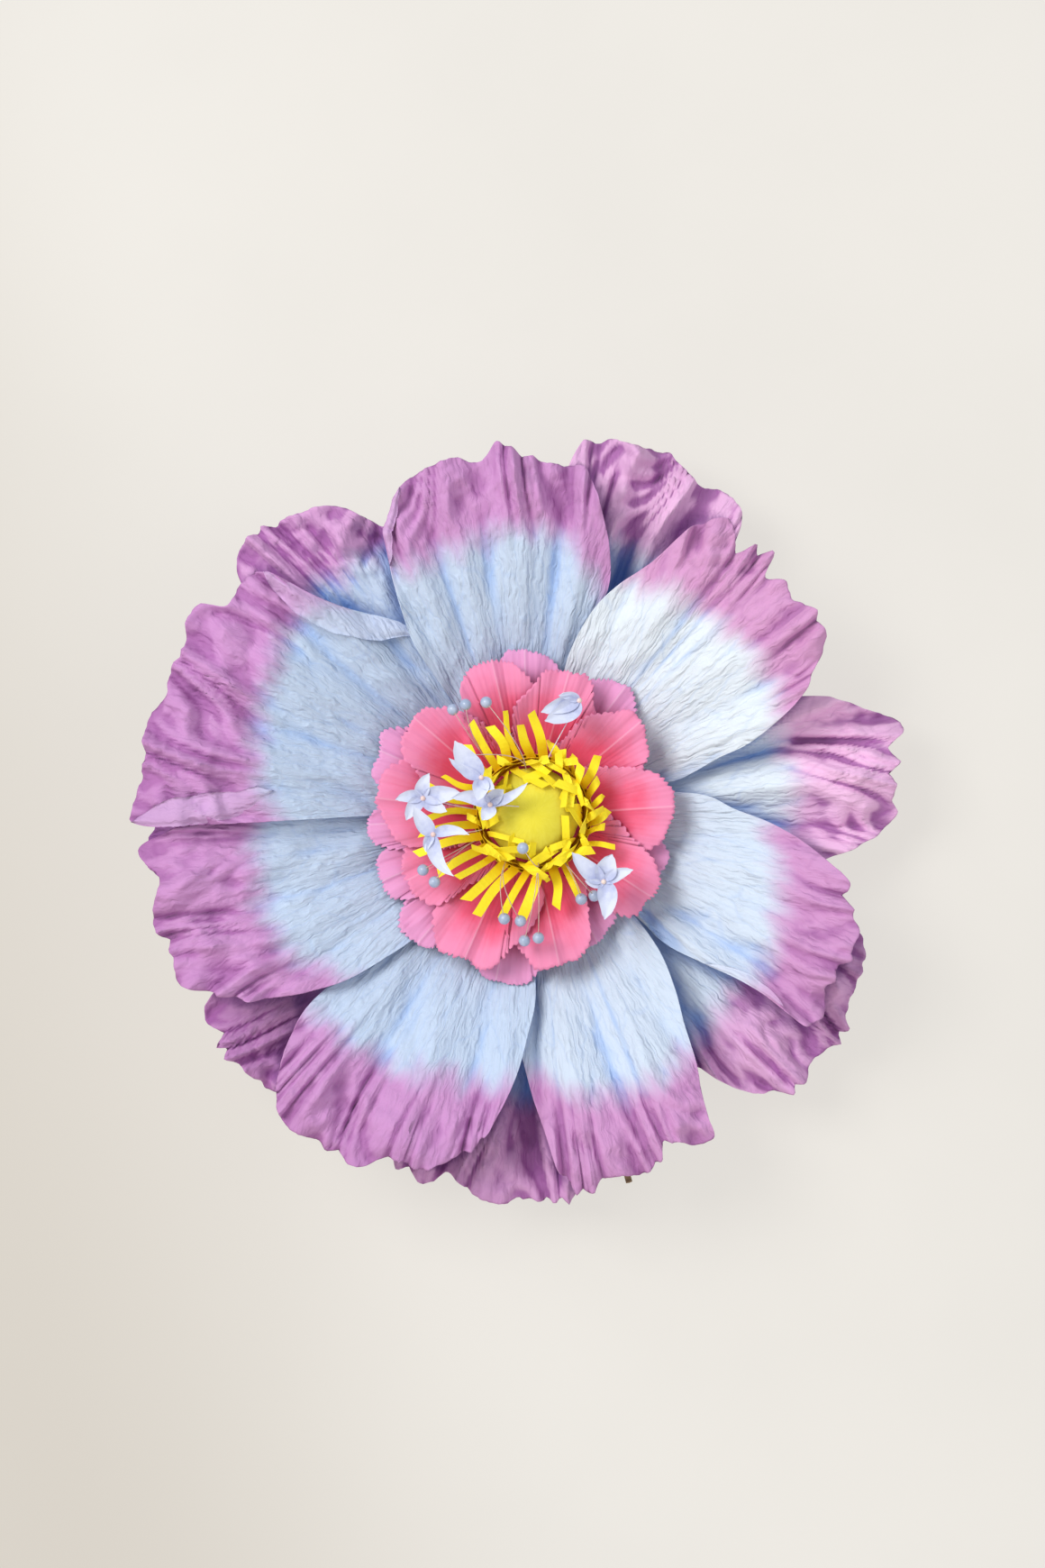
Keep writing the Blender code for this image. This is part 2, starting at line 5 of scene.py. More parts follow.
import bpy
import bmesh
import math
import numpy as np
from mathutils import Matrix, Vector


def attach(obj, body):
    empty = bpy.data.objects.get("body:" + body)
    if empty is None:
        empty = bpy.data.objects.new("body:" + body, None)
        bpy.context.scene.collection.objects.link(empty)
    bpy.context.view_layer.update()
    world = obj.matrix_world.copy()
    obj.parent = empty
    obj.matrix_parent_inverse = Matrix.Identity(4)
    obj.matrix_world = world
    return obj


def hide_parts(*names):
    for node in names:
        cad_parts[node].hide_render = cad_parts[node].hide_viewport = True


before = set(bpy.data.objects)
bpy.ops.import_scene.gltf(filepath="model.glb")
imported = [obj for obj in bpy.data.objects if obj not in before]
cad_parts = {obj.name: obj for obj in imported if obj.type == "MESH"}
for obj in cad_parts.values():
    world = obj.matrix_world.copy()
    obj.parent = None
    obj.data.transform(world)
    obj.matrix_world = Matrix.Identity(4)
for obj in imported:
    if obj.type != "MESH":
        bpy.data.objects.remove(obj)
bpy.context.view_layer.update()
mm = 0.001


def ease(low, high, value):
    share = np.clip((value - low) / (high - low), 0.0, 1.0)
    return share * share * (3.0 - 2.0 * share)


# The direction of points in degrees, less than half a turn from the middle one.
def turnOf(x, z, middle):
    turn = np.degrees(np.arctan2(z, x))
    return turn + 360.0 * np.round((middle - turn) / 360.0)


def polar(degrees, radius, height):
    turn = math.radians(degrees)
    return Vector((radius * math.cos(turn), -height, radius * math.sin(turn)))


# Smooth noise from about -1 to 1 over a plane.
def softNoise(x, y, seed):
    turns = np.random.default_rng(seed).uniform(0.0, 2.0 * math.pi, (64, 64))
    cellX, cellY = np.floor(x).astype(int), np.floor(y).astype(int)
    partX, partY = x - cellX, y - cellY
    fadeX = partX**3 * (partX * (partX * 6.0 - 15.0) + 10.0)
    fadeY = partY**3 * (partY * (partY * 6.0 - 15.0) + 10.0)

    def corner(dx, dy):
        turn = turns[(cellX + dx) % 64, (cellY + dy) % 64]
        return np.cos(turn) * (partX - dx) + np.sin(turn) * (partY - dy)

    low = corner(0, 0) * (1.0 - fadeX) + corner(1, 0) * fadeX
    high = corner(0, 1) * (1.0 - fadeX) + corner(1, 1) * fadeX
    return 1.5 * (low * (1.0 - fadeY) + high * fadeY)


# The same along a line.
def strays(along, often, row, seed):
    return softNoise(along * often, along * 0.0 + row, seed)


# Sharp ridges that meander, between 0 and 1.
def creases(x, y, seed):
    return 1.0 - np.abs(softNoise(x, y, seed)) * 1.6


# Straight folds up and down, a little rounded where they turn.
def zigzag(phase):
    return np.arcsin(0.985 * np.cos(2.0 * math.pi * phase)) / 1.397


# Straight creases that cross, each lot in patches of its own, from about -1 to 1.
# spread is how far they turn from the y direction, in degrees.
def crumple(x, y, apart, ways, spread, seed):
    dice = np.random.default_rng(seed)
    total = 0.0
    for way in range(ways):
        turn = math.radians(dice.uniform(-1.0, 1.0)) * spread
        here = softNoise(x / (apart * 1.7) + 9.0 * way, y / (apart * 2.4) + 5.0, seed + way)
        patch = np.clip(0.35 + 1.3 * here, 0.0, 1.0)
        line = (x * np.cos(turn) + y * np.sin(turn)) / (apart * dice.uniform(0.7, 1.4)) + dice.uniform(0.0, 1.0)
        line = line + 0.22 * softNoise(x / apart + 3.0, y / (apart * 1.5), seed + 40 + way)
        total = total + patch * zigzag(line)
    return total / math.sqrt(ways)


def blur(grid, times=1):
    for _ in range(times):
        padded = np.pad(grid, 1, mode="edge")
        grid = (padded[:-2, 1:-1] + padded[2:, 1:-1] + padded[1:-1, :-2] + padded[1:-1, 2:]
                + padded[1:-1, 1:-1]) / 5.0
    return grid


# What has been laid so far: the greatest height in each small cell of the flower's face.
nothing = -1000.0
laid = {"cell": 2.5, "half": 330.0, "heights": np.full((264, 264), nothing)}


def cellsOf(x, z):
    last = len(laid["heights"]) - 1
    column = np.clip(((x + laid["half"]) / laid["cell"]).astype(int), 0, last)
    row = np.clip(((z + laid["half"]) / laid["cell"]).astype(int), 0, last)
    return row, column


# Lifts a sheet where it would sink into what is already laid.
def layOver(x, z, height, gap):
    under = laid["heights"][cellsOf(x, z)] + gap
    push = np.maximum(0.0, under - height)
    return height + np.maximum(push, blur(push, 6))


# Adds a sheet to what has been laid.
def leave(x, z, height):
    sheet = np.full_like(laid["heights"], nothing)
    np.maximum.at(sheet, cellsOf(x, z), height)
    wide = sheet.copy()
    wide[1:] = np.maximum(wide[1:], sheet[:-1])
    wide[:-1] = np.maximum(wide[:-1], sheet[1:])
    wide[:, 1:] = np.maximum(wide[:, 1:], sheet[:, :-1])
    wide[:, :-1] = np.maximum(wide[:, :-1], sheet[:, 1:])
    laid["heights"] = np.maximum(laid["heights"], wide)


# A curve through the points, read off in steps that are three times finer along the rim than up the sides.
def smoothLine(points, count):
    path = np.array(points, float)
    padded = np.vstack([2 * path[0] - path[1], path, 2 * path[-1] - path[-2]])
    fine, marks = [], []
    for index in range(len(path) - 1):
        a, b, c, d = padded[index:index + 4]
        for t in np.linspace(0.0, 1.0, 16, endpoint=False):
            fine.append(0.5 * (2 * b + (c - a) * t + (2 * a - 5 * b + 4 * c - d) * t**2
                               + (3 * b - a - 3 * c + d) * t**3))
            marks.append(index + t)
    fine.append(path[-1])
    marks.append(len(path) - 1.0)
    fine, marks = np.array(fine), np.array(marks)
    finer = 1.0 + 2.0 * ease(190.0, 235.0, np.hypot(fine[:, 0], fine[:, 1]))
    length = np.concatenate([[0.0], np.cumsum(np.linalg.norm(np.diff(fine, axis=0), axis=1) * finer[1:])])
    steps = np.linspace(0.0, length[-1], count)
    line = np.stack([np.interp(steps, length, fine[:, k]) for k in range(fine.shape[1])], axis=1)
    return line, np.interp(steps, length, marks)


def gridFaces(rows, columns, start=0):
    index = start + np.arange(rows * columns).reshape(rows, columns)
    return np.stack([index[:-1, :-1], index[1:, :-1], index[1:, 1:], index[:-1, 1:]], axis=-1).reshape(-1, 4)


# A mesh object from points in mm, with named values on its points.
def makeMesh(name, points, faces, values, places=None, smooth=True):
    mesh = bpy.data.meshes.new(name)
    mesh.from_pydata((np.asarray(points) * mm).tolist(), [], np.asarray(faces).tolist())
    for key, data in values.items():
        mesh.attributes.new(key, "FLOAT", "POINT").data.foreach_set("value", np.asarray(data, np.float32).ravel())
    if places is not None:
        layer = mesh.attributes.new("paperPlace", "FLOAT_VECTOR", "POINT")
        layer.data.foreach_set("vector", np.asarray(places, np.float32).ravel())
    if smooth:
        mesh.shade_smooth()
    made = bpy.data.objects.new(name, mesh)
    bpy.context.scene.collection.objects.link(made)
    return made


def addThickness(piece, thickness, rimOnly=False):
    solid = piece.modifiers.new("thickness", "SOLIDIFY")
    solid.thickness = thickness * mm
    solid.offset = 0.0
    solid.use_rim_only = rimOnly


def finishPiece(piece, node, material):
    piece.data.materials.append(material)
    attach(piece, "root")
    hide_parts(node)


sheets = []  # petals that wait until all are laid, as their shade depends on their neighbours


# Makes the waiting petals, each with how deep its points lie beneath what is around them, which becomes painted
# shade.
def makeSheets():
    around = blur(np.maximum(laid["heights"], 0.0), 26)
    close = blur(np.maximum(laid["heights"], 0.0), 5)
    print("  finishing", len(sheets), "petals")
    for name, points, faces, values, places, node, slot, material in sheets:
        cells = cellsOf(points[:, 0], points[:, 2])
        below = np.maximum(around[cells], close[cells]) + points[:, 1]
        # painted shade: how far a point lies beneath its neighbours' blurred heights
        values["shadeBeneath"] = np.clip((below - 5.0) / 26.0, 0.0, 1.0)
        petal = makeMesh(name, points, faces, values, places)
        addThickness(petal, 0.4, rimOnly=True)
        finishPiece(petal, node, material)
    sheets.clear()


bigPetal = {
    "columns": 168, "rows": 128,
    "foot": 22.0, "reach": 290.0,
    "front": {"footHeight": 25.0, "rise": 92.0, "lap": 6.0, "rimDrop": 10.0},
    "back": {"footHeight": 13.0, "rise": 48.0, "lap": 2.0, "rimDrop": 4.0},
    "pleatStep": 6.4, "pleatDepth": 18.0,      # degrees apart, mm deep at the rim
    "pleatLean": 0.35,                         # pleats that they drift aside over the width of the band
    "edgeZigzag": 2.7, "edgeNibble": 2.1,      # how far the pleats and the torn look move the rim, in mm
    # creases: how far apart, how deep, how many ways they run, all in mm
    "crumple": ((50.0, 4.2, 3), (25.0, 2.3, 4), (13.0, 0.8, 4)),
    "crumpleBody": 0.6, "crumpleBand": 1.5,    # how much of that the body and the band get
    "ribs": (2.2, 60.0, 0.55),                 # degrees, length in mm and depth in mm
    "foldStrength": 1.65, "folding": (185.0, 262.0),   # where the pleats begin and are whole, in mm
    "gap": 2.2, "turnedGap": 0.9, "turnedLift": 3.0,   # how far a sheet keeps off what is under it
    "dyeFade": 46.0, "dyeWander": 7.0,         # how wide the change to purple is and how uneven, in mm
    "mmPerDegree": 4.0,                        # for the crushed look
}

# Each outline runs anticlockwise: up one side, along the rim and down the other side.
# band is where the purple starts, as degrees and radius. folds are degrees, height and width.
# turned edges are the first and last outline point, and the width that is turned over. The number after them is
# painted light, high on the right-hand petals, which it paints paler.
frontPetals = {
    "front_petal_lower_right": {
        "outline": [(271, 90), (267, 125), (266.5, 165), (269, 190), (271.5, 222), (273.8, 250), (275.3, 274),
                    (278.5, 290), (281.7, 284), (284.6, 283), (287.7, 287), (290.8, 282), (292.2, 272), (294, 269),
                    (296.8, 284), (300.2, 284), (301, 268), (302, 252), (304.3, 230), (307, 200), (310.5, 175),
                    (314.5, 145), (318, 105)],
        "band": [(265, 200), (272, 196), (280, 222), (290, 226), (300, 222), (318, 215)],
        "folds": [(272, -7, 2.6), (280, 6, 4.0), (288.5, -5, 2.2), (296, 6, 4.0), (304, -4, 2.5)],
        "turned": [], "sideLight": 0.52, "seed": 11},
    "front_petal_lower_left": {
        "outline": [(227, 90), (223.5, 130), (221, 175), (220.5, 215), (222, 240), (225, 267), (228, 287),
                    (230.8, 298), (233.8, 299), (237, 294), (240.3, 295), (243.1, 297), (245.5, 291), (247.8, 281),
                    (252.8, 280), (256.5, 270), (261.5, 252), (264.5, 227), (267.5, 199), (269.9, 170),
                    (272.6, 138), (271, 95)],
        "band": [(220, 226), (235, 220), (250, 212), (262, 208), (272, 200)],
        "folds": [(230, 4, 3.5), (238, -4, 3.0), (248, 5, 5.0), (258, -4, 3.0), (265, 3, 3.0)],
        "turned": [], "sideLight": 0.22, "seed": 12},
    "front_petal_left": {
        "outline": [(179, 95), (176, 135), (175.5, 175), (177, 210), (179.5, 240), (182, 270), (184.2, 297),
                    (186.8, 297), (189.8, 285), (193.4, 293), (196.5, 298), (200.3, 290), (203.5, 296), (206, 294),
                    (209.6, 273), (213, 256), (216.9, 228), (219.6, 207), (222.2, 186), (224.6, 157), (227, 125),
                    (222, 92)],
        "band": [(176, 200), (186, 212), (198, 216), (208, 214), (220, 190)],
        "folds": [(184, -5, 3.0), (191, 5, 4.0), (198, -3, 2.5), (206, 4, 4.0), (214, -3, 3.0)],
        "turned": [], "sideLight": 0.25, "seed": 13},
    "front_petal_upper_left": {
        "outline": [(126, 95), (121.5, 135), (122, 171), (126.5, 192), (131, 212), (134, 235), (137.2, 275),
                    (141.5, 283), (145, 280), (147.1, 298), (150.6, 300), (154.2, 292), (157.6, 296), (161, 291),
                    (164.5, 298), (168.4, 299), (171.7, 295), (176, 301), (180.5, 300), (181.6, 276), (181.2, 245),
                    (179.5, 218), (173.5, 192), (175.5, 173), (178.6, 149), (176, 95)],
        "band": [(122, 214), (135, 228), (145, 232), (158, 222), (170, 212), (182, 188)],
        "folds": [(128, -6, 2.5), (134, 5, 3.0), (141, -4, 2.4), (150, 4, 4.0), (160, -4, 3.0), (169, 4, 4.0)],
        "turned": [(1.6, 6, 22.0), (18, 22, 24.0)], "sideLight": 0.2, "seed": 14},
    "front_petal_top": {
        "outline": [(77, 100), (73, 145), (70.5, 185), (73, 215), (77, 244), (80.5, 269), (84.3, 270), (88, 272),
                    (91.8, 278), (94.5, 287), (97, 275), (99, 273), (101.5, 279), (107, 276), (111, 270),
                    (116, 249), (119, 217), (121.5, 185), (123.7, 153), (122, 105)],
        "band": [(70, 176), (76, 196), (81, 216), (92, 222), (104, 214), (112, 212), (120, 216)],
        "folds": [(78, 6, 3.0), (83.5, -6, 2.4), (92, 4, 4.0), (99, -3, 2.0), (104, 3, 2.0), (109, -4, 2.0),
                  (114, 3, 2.0), (119, -4, 2.0)],
        "turned": [(14, 16, 7.0)], "sideLight": 0.3, "seed": 15},
    "front_petal_right": {
        "outline": [(321, 95), (317, 140), (320, 175), (322.4, 205), (323.3, 243), (323, 266), (326, 274),
                    (328.6, 270), (330.8, 261), (334.7, 267), (337.5, 265), (340.8, 268), (343, 260), (345.5, 252),
                    (348.7, 248), (351.2, 234), (354.7, 213), (358.5, 187), (362, 160), (367, 137), (372, 95)],
        "band": [(318, 214), (330, 216), (340, 208), (350, 194), (360, 184)],
        "folds": [(322, 7, 2.6), (327.5, -7, 2.6), (335, 4, 4.0), (346, 3, 4.0), (354, -3, 3.0)],
        "turned": [(2, 4, 7.0)], "sideLight": 0.6, "seed": 16},
    "front_petal_upper_right": {
        "outline": [(16, 85), (13.5, 119), (17, 155), (18.2, 179), (21, 206), (24, 231), (27, 245), (29.7, 259),
                    (34, 268), (37.5, 267), (39.7, 264), (42.5, 267), (44.8, 260), (47, 272), (49.6, 267),
                    (52, 260), (56, 271), (60, 257), (61.8, 240), (64, 217), (69, 189), (73, 162), (76, 122),
                    (72, 88)],
        "band": [(14, 206), (28, 212), (40, 214), (52, 206), (66, 200)],
        "folds": [(22, 4, 3.0), (29, -3, 2.5), (38, 4, 5.0), (49, -3, 3.0), (57, 4, 4.0), (66, -4, 3.0)],
        "turned": [], "sideLight": 1.0, "seed": 17},
}
backPetals = {
    "back_petal_lower_left": {
        "outline": [(213, 90), (208, 160), (206, 225), (208.5, 268), (211, 291), (214.7, 293), (218, 298),
                    (221.2, 296), (224, 293), (227, 297), (231, 285), (235, 240), (237, 180), (234, 90)],
        "band": [(205, 205), (237, 205)], "folds": [(212, -5, 3), (218, 5, 3), (226, -5, 3)],
        "turned": [], "sideLight": 0.2, "seed": 21},
    "back_petal_bottom": {
        "outline": [(254, 90), (249, 160), (247, 230), (248, 282), (252, 292), (255.5, 295), (257.4, 284),
                    (260.5, 293), (265, 301), (269.5, 294), (272, 299), (275.3, 299), (279, 291), (281.5, 260),
                    (282, 205), (281, 150), (277, 90)],
        "band": [(247, 212), (265, 216), (270, 226), (282, 222)],
        "folds": [(256, -5, 3), (263, 5, 3), (270, -6, 3), (276, 4, 3)], "turned": [], "sideLight": 0.45, "seed": 22},
    "back_petal_left": {
        "outline": [(168, 90), (163, 160), (163, 220), (167, 268), (172, 290), (177, 296), (181, 295),
                    (184.5, 299), (188.5, 294), (193, 268), (197, 220), (197, 160), (191, 90)],
        "band": [(163, 205), (197, 205)], "folds": [(176, 5, 3), (184, -5, 3)],
        "turned": [], "sideLight": 0.1, "seed": 23},
    "back_petal_lower_right": {
        "outline": [(309, 90), (303, 160), (302, 212), (304.8, 242), (308.2, 273), (312, 291), (316.5, 298),
                    (319, 292), (324, 299), (328, 294), (331.5, 289), (335, 284), (338.3, 285), (341, 268),
                    (341, 215), (338, 150), (331, 90)],
        "band": [(302, 222), (312, 216), (322, 210), (341, 200)],
        "folds": [(309, -5, 3), (315, 5, 3), (323, -6, 4), (331, 6, 4)], "turned": [], "sideLight": 0.6, "seed": 24},
    "back_petal_right": {
        "outline": [(-2, 90), (-10, 165), (-10, 215), (-7, 244), (-3.5, 270), (0.2, 290), (3, 285), (6.8, 285),
                    (10.3, 288), (14.4, 298), (17, 283), (20.7, 258), (23.5, 235), (26, 190), (24, 130), (19, 90)],
        "band": [(-10, 196), (0, 206), (8, 212), (16, 206), (25, 200)],
        "folds": [(-2, -8, 2.6), (7, 9, 4.5), (15, -9, 2.8), (20, 5, 2.5)], "turned": [], "sideLight": 1.0, "seed": 25},
    "back_petal_upper_right": {
        "outline": [(59, 90), (53, 165), (52, 235), (52.5, 265), (55, 289), (59, 295), (62.4, 290), (66, 297),
                    (69.1, 303), (73.4, 299), (77.6, 299), (81, 293), (83.5, 272), (84, 220), (81, 150), (75, 90)],
        "band": [(52, 228), (68, 222), (84, 216)],
        "folds": [(56, 5, 2), (60.5, -6, 2), (65, 6, 2), (69, -6, 2), (73.5, 6, 2), (78, -5, 2)],
        "turned": [], "sideLight": 0.9, "seed": 26},
    "back_petal_upper_left": {
        "outline": [(120, 90), (113, 160), (112.5, 215), (115, 245), (118.5, 263), (121.2, 281), (124.6, 291),
                    (127.8, 295), (131, 301), (134.9, 306), (138.4, 302), (141, 285), (143.5, 240), (144.5, 165),
                    (141, 90)],
        "band": [(112, 232), (126, 240), (144, 240)],
        "folds": [(118, -5, 2.5), (124, 5, 3), (131, -5, 3), (137, 5, 3)], "turned": [], "sideLight": 0.4, "seed": 27},
}


def largePetal(node, spec, kind, slot, material):
    shape = bigPetal[kind]
    outline, seed = spec["outline"], spec["seed"]
    first, last = outline[0][0], outline[-1][0]
    middle, half = (first + last) / 2.0, abs(last - first) / 2.0
    flat = [(r * math.cos(math.radians(a)), r * math.sin(math.radians(a))) for a, r in outline]
    edge, marks = smoothLine(flat, bigPetal["columns"])
    along = np.linspace(0.0, 1.0, bigPetal["columns"])
    edgeRadius = np.hypot(edge[:, 0], edge[:, 1])
    edgeTurn = turnOf(edge[:, 0], edge[:, 1], middle)

    def pleatPhase(turn, radius):
        drift = bigPetal["pleatLean"] * (radius - 220.0) / 60.0
        return turn / bigPetal["pleatStep"] + drift + 1.5 * softNoise(turn / 10.0, radius / 130.0, seed + 100)

    strong = np.clip(0.7 + 1.8 * softNoise(edgeTurn / 8.0, along, seed + 50), 0.0, 2.0)
    tear = bigPetal["edgeZigzag"] * zigzag(pleatPhase(edgeTurn, edgeRadius)) * strong
    tear += bigPetal["edgeNibble"] * (creases(edgeTurn / 3.1, along * 9.0, seed) - 0.6) * strong
    tear += 0.4 * bigPetal["edgeNibble"] * softNoise(edgeTurn / 0.9, along * 5.0, seed + 51)
    edge = edge * (1.0 + tear * ease(225.0, 258.0, edgeRadius) / edgeRadius)[:, None]

    out = np.linspace(0.0, 1.0, bigPetal["rows"]) ** 0.85
    footTurn = np.radians(middle + half * 0.86 * (2.0 * along - 1.0))
    foot = bigPetal["foot"] * np.stack([np.cos(footTurn), np.sin(footTurn)], axis=1)
    x = foot[:, 0] + out[:, None] * (edge[:, 0] - foot[:, 0])
    z = foot[:, 1] + out[:, None] * (edge[:, 1] - foot[:, 1])
    radius = np.hypot(x, z)
    turn = turnOf(x, z, middle)

    def heightAt(x, z, radius, turn):
        aside = (turn - middle) / half
        height = shape["footHeight"] + shape["rise"] * ease(bigPetal["foot"], bigPetal["reach"], radius)
        height -= shape["rimDrop"] * ease(255.0, 305.0, radius)
        height += shape["lap"] * aside * ease(25.0, 70.0, radius) * (1.0 - 0.5 * ease(190.0, 260.0, radius))
        growing = ease(70.0, 215.0, radius)
        for degrees, rise, wide in spec["folds"]:
            height += bigPetal["foldStrength"] * rise * growing * np.exp(-np.abs((turn - degrees) / wide) ** 1.4)
        deep = 0.3 + 0.7 * np.clip(0.5 + 1.1 * softNoise(turn / 7.0, radius / 150.0, seed + 200), 0.0, 1.0)
        folded = ease(*bigPetal["folding"], radius)
        height += bigPetal["pleatDepth"] * deep * 0.5 * zigzag(pleatPhase(turn, radius)) * folded
        height += 0.14 * bigPetal["pleatDepth"] * zigzag(2.7 * pleatPhase(turn, radius) + 0.3) * folded**2
        ribTurn, ribLong, ribDeep = bigPetal["ribs"]
        height += ribDeep * creases(turn / ribTurn, radius / ribLong, seed + 300) * ease(40.0, 120.0, radius)
        # across and along the petal, so that the creases of its body run out towards the rim
        lean = math.radians(middle)
        across, out = z * math.cos(lean) - x * math.sin(lean), x * math.cos(lean) + z * math.sin(lean)
        for number, (apart, depth, ways) in enumerate(bigPetal["crumple"]):
            body = crumple(across, out, apart, ways, 26.0, seed + 500 + 10 * number)
            band = crumple(across, out, apart * 0.9, ways, 75.0, seed + 700 + 10 * number)
            both = bigPetal["crumpleBody"] * body * (1.0 - folded) + bigPetal["crumpleBand"] * band * folded
            height += depth * both * ease(45.0, 110.0, radius)
        return height

    height = layOver(x, z, heightAt(x, z, radius, turn), bigPetal["gap"])
    # painted shade: how far each point lies below the blurred petal around it, darker in hollows
    hollowShade = np.clip(0.42 + (blur(height, 60) - height) * 0.12 + (blur(height, 9) - height) * 0.10, 0.0, 1.0)

    def dyeAt(radius, turn):
        start = np.interp(turn, *zip(*spec["band"]))
        start = start + bigPetal["dyeWander"] * softNoise(turn / 5.0, radius / 40.0, seed + 600)
        return np.clip(0.5 + (radius - start) / bigPetal["dyeFade"], 0.0, 3.0)

    points = [np.stack([x, -height, z], axis=-1).reshape(-1, 3)]
    faces = [gridFaces(len(out), len(along))]
    dye, hollowShades = [dyeAt(radius, turn).ravel()], [hollowShade.ravel()]
    reverse = [np.zeros(x.size)]
    leave(x, z, height)

    # edges that are turned over onto the front
    for start, end, wide in spec["turned"]:
        chosen = np.nonzero((marks >= start) & (marks <= end))[0]
        line, lineHeight = edge[chosen], height[-1, chosen]
        run = np.gradient(line, axis=0)
        share = np.cumsum(np.linalg.norm(run, axis=1))
        share = (share - share[0]) / (share[-1] - share[0])
        inward = np.stack([-run[:, 1], run[:, 0]], axis=1)
        inward /= np.linalg.norm(inward, axis=1)[:, None]
        width = wide * np.sin(math.pi * share) ** 0.6 * (1.0 + 0.18 * strays(share, 7.0, 0.2, seed))
        over = np.linspace(0.0, 1.0, 9)[:, None]
        flapX = line[:, 0] + inward[:, 0] * width * over
        flapZ = line[:, 1] + inward[:, 1] * width * over
        flapHeight = lineHeight + bigPetal["turnedLift"] * np.sin(math.pi * np.minimum(over * 1.15, 1.0))
        lift = layOver(flapX, flapZ, flapHeight, bigPetal["turnedGap"])
        flapHeight = flapHeight + (lift - flapHeight) * np.minimum(1.0, over * 5.0)
        flapHeight += 0.5 * creases(flapX / 9.0, flapZ / 9.0, seed + 700) * over
        begin = sum(len(p) for p in points)
        points.append(np.stack([flapX, -flapHeight, flapZ], axis=-1).reshape(-1, 3))
        faces.append(gridFaces(len(over), len(chosen), begin))
        dye.append(dyeAt(np.hypot(flapX, flapZ), turnOf(flapX, flapZ, middle)).ravel())
        # the turned edges get an even, faint painted shade
        hollowShades.append(np.full(flapX.size, 0.45))
        reverse.append(np.full(flapX.size, 1.0))
        leave(flapX, flapZ, flapHeight)

    points = np.concatenate(points)
    values = {"dye": np.concatenate(dye), "hollowShade": np.concatenate(hollowShades), "reverse": np.concatenate(reverse),
              "sideLight": np.full(len(points), spec["sideLight"])}
    across, out = turnOf(points[:, 0], points[:, 2], middle), np.hypot(points[:, 0], points[:, 2])
    places = np.stack([across * bigPetal["mmPerDegree"], out, np.full(len(points), seed * 37.0)], axis=1) * mm
    sheets.append(("petal_" + node, points, np.concatenate(faces), values, places, node, slot, material))


# Directions in degrees, tip radius and half width in mm.
smallPetal = {
    "columns": 110, "rows": 34, "swing": 108.0, "roundPart": 0.44,    # how much of its length the round end is
    "teeth": 2.3, "toothStep": 5.6, "ribStep": 2.4, "ribDepth": 0.25,
    "wander": 6.5, "wobble": 1.5,      # how far the outline strays, slowly and quickly
    "wave": 4.2, "midrib": 1.6, "tipDrop": 3.0, "tilt": 2.3, "gap": 1.1,
    "mauve": {"footHeight": 34.0, "rise": 33.0, "seed": 50,
              "petals": [(91, 127, 31), (53, 122, 32), (18, 96, 26), (336, 112, 31), (299, 112, 31),
                         (259, 129, 33), (229, 129, 30), (204, 124, 27), (183, 121, 26), (156, 126, 30)]},
    "pink": {"footHeight": 42.5, "rise": 44.0, "seed": 70,
             "petals": [(103, 124, 31), (74, 117, 31), (40, 112, 32), (4, 112, 35), (327, 113, 31),
                        (282, 117, 35), (246, 123, 34), (208, 104, 30), (173, 113, 33), (139, 114, 34)]},
}


def smallPetals(kind, slot, material):
    family = smallPetal[kind]
    columns, rows = smallPetal["columns"], smallPetal["rows"]
    for number, (direction, tip, halfWidth) in enumerate(family["petals"], 1):
        salt = family["seed"] + number
        side = np.linspace(-1.0, 1.0, columns)
        swing = np.radians(smallPetal["swing"]) * side
        length = smallPetal["roundPart"] * tip
        bite = swing * length / smallPetal["toothStep"] + 0.2 * number + 0.8 * strays(side, 4.0, 0.4, salt)
        tooth = smallPetal["teeth"] * (1.0 - 2.0 * np.abs(np.sin(math.pi * bite)) ** 0.8)
        tooth = -tooth * (0.6 + 0.7 * strays(side, 5.0, 0.2, salt))
        tooth += (smallPetal["wander"] * strays(side, 2.6, 0.6, salt + 9)
                  + smallPetal["wobble"] * strays(side, 9.0, 0.6, salt + 19))
        square = 1.0 + 0.10 * np.sin(2.0 * swing) ** 2
        long = tip - length + (length * square + tooth) * np.cos(swing)
        wide = (halfWidth * square + tooth) * np.sin(swing)
        out = np.linspace(0.0, 1.0, rows)[:, None]
        u = 18.0 + out * (long - 18.0)
        v = 4.0 * side + out * (wide - 4.0 * side)
        away = np.hypot(u, v)
        aside = np.degrees(np.arctan2(v, u))
        height = family["footHeight"] + family["rise"] * ease(14.0, 118.0, away)
        height = height + smallPetal["tilt"] * aside / 18.0 + 1.2 * np.clip(v / halfWidth, 0.0, 1.0) ** 2
        height = height - smallPetal["tipDrop"] * ease(tip * 0.80, tip * 1.02, away)
        height = height + smallPetal["midrib"] * np.exp(-(v / 3.5) ** 2) * ease(30, 60, away)
        wave, rib = softNoise(aside / 7.0, away / 60.0, salt + 20), zigzag(aside / smallPetal["ribStep"])
        height = height + smallPetal["wave"] * wave * ease(60.0, 115.0, away)
        height = height + smallPetal["ribDepth"] * rib * ease(45.0, 100.0, away)
        turn = np.radians(direction + aside)
        x, z = away * np.cos(turn), away * np.sin(turn)
        height = layOver(x, z, height, smallPetal["gap"])
        leave(x, z, height)
        values = {"along": np.clip(out * np.ones_like(x), 0.0, 1.0), "across": v / halfWidth}
        places = np.stack([aside * 1.5 + number * 50.0, away, np.full(x.shape, salt * 11.0)], axis=-1) * mm
        node = f"{kind}_petal_{number}"
        points = np.stack([x, -height, z], axis=-1).reshape(-1, 3)
        sheets.append(("paper_" + node, points, gridFaces(rows, columns), values, places.reshape(-1, 3),
                       node, slot, material))


centre = {"x": 4.0, "z": 2.0, "radius": 36.0, "height": 82.0, "around": 120, "down": 44}


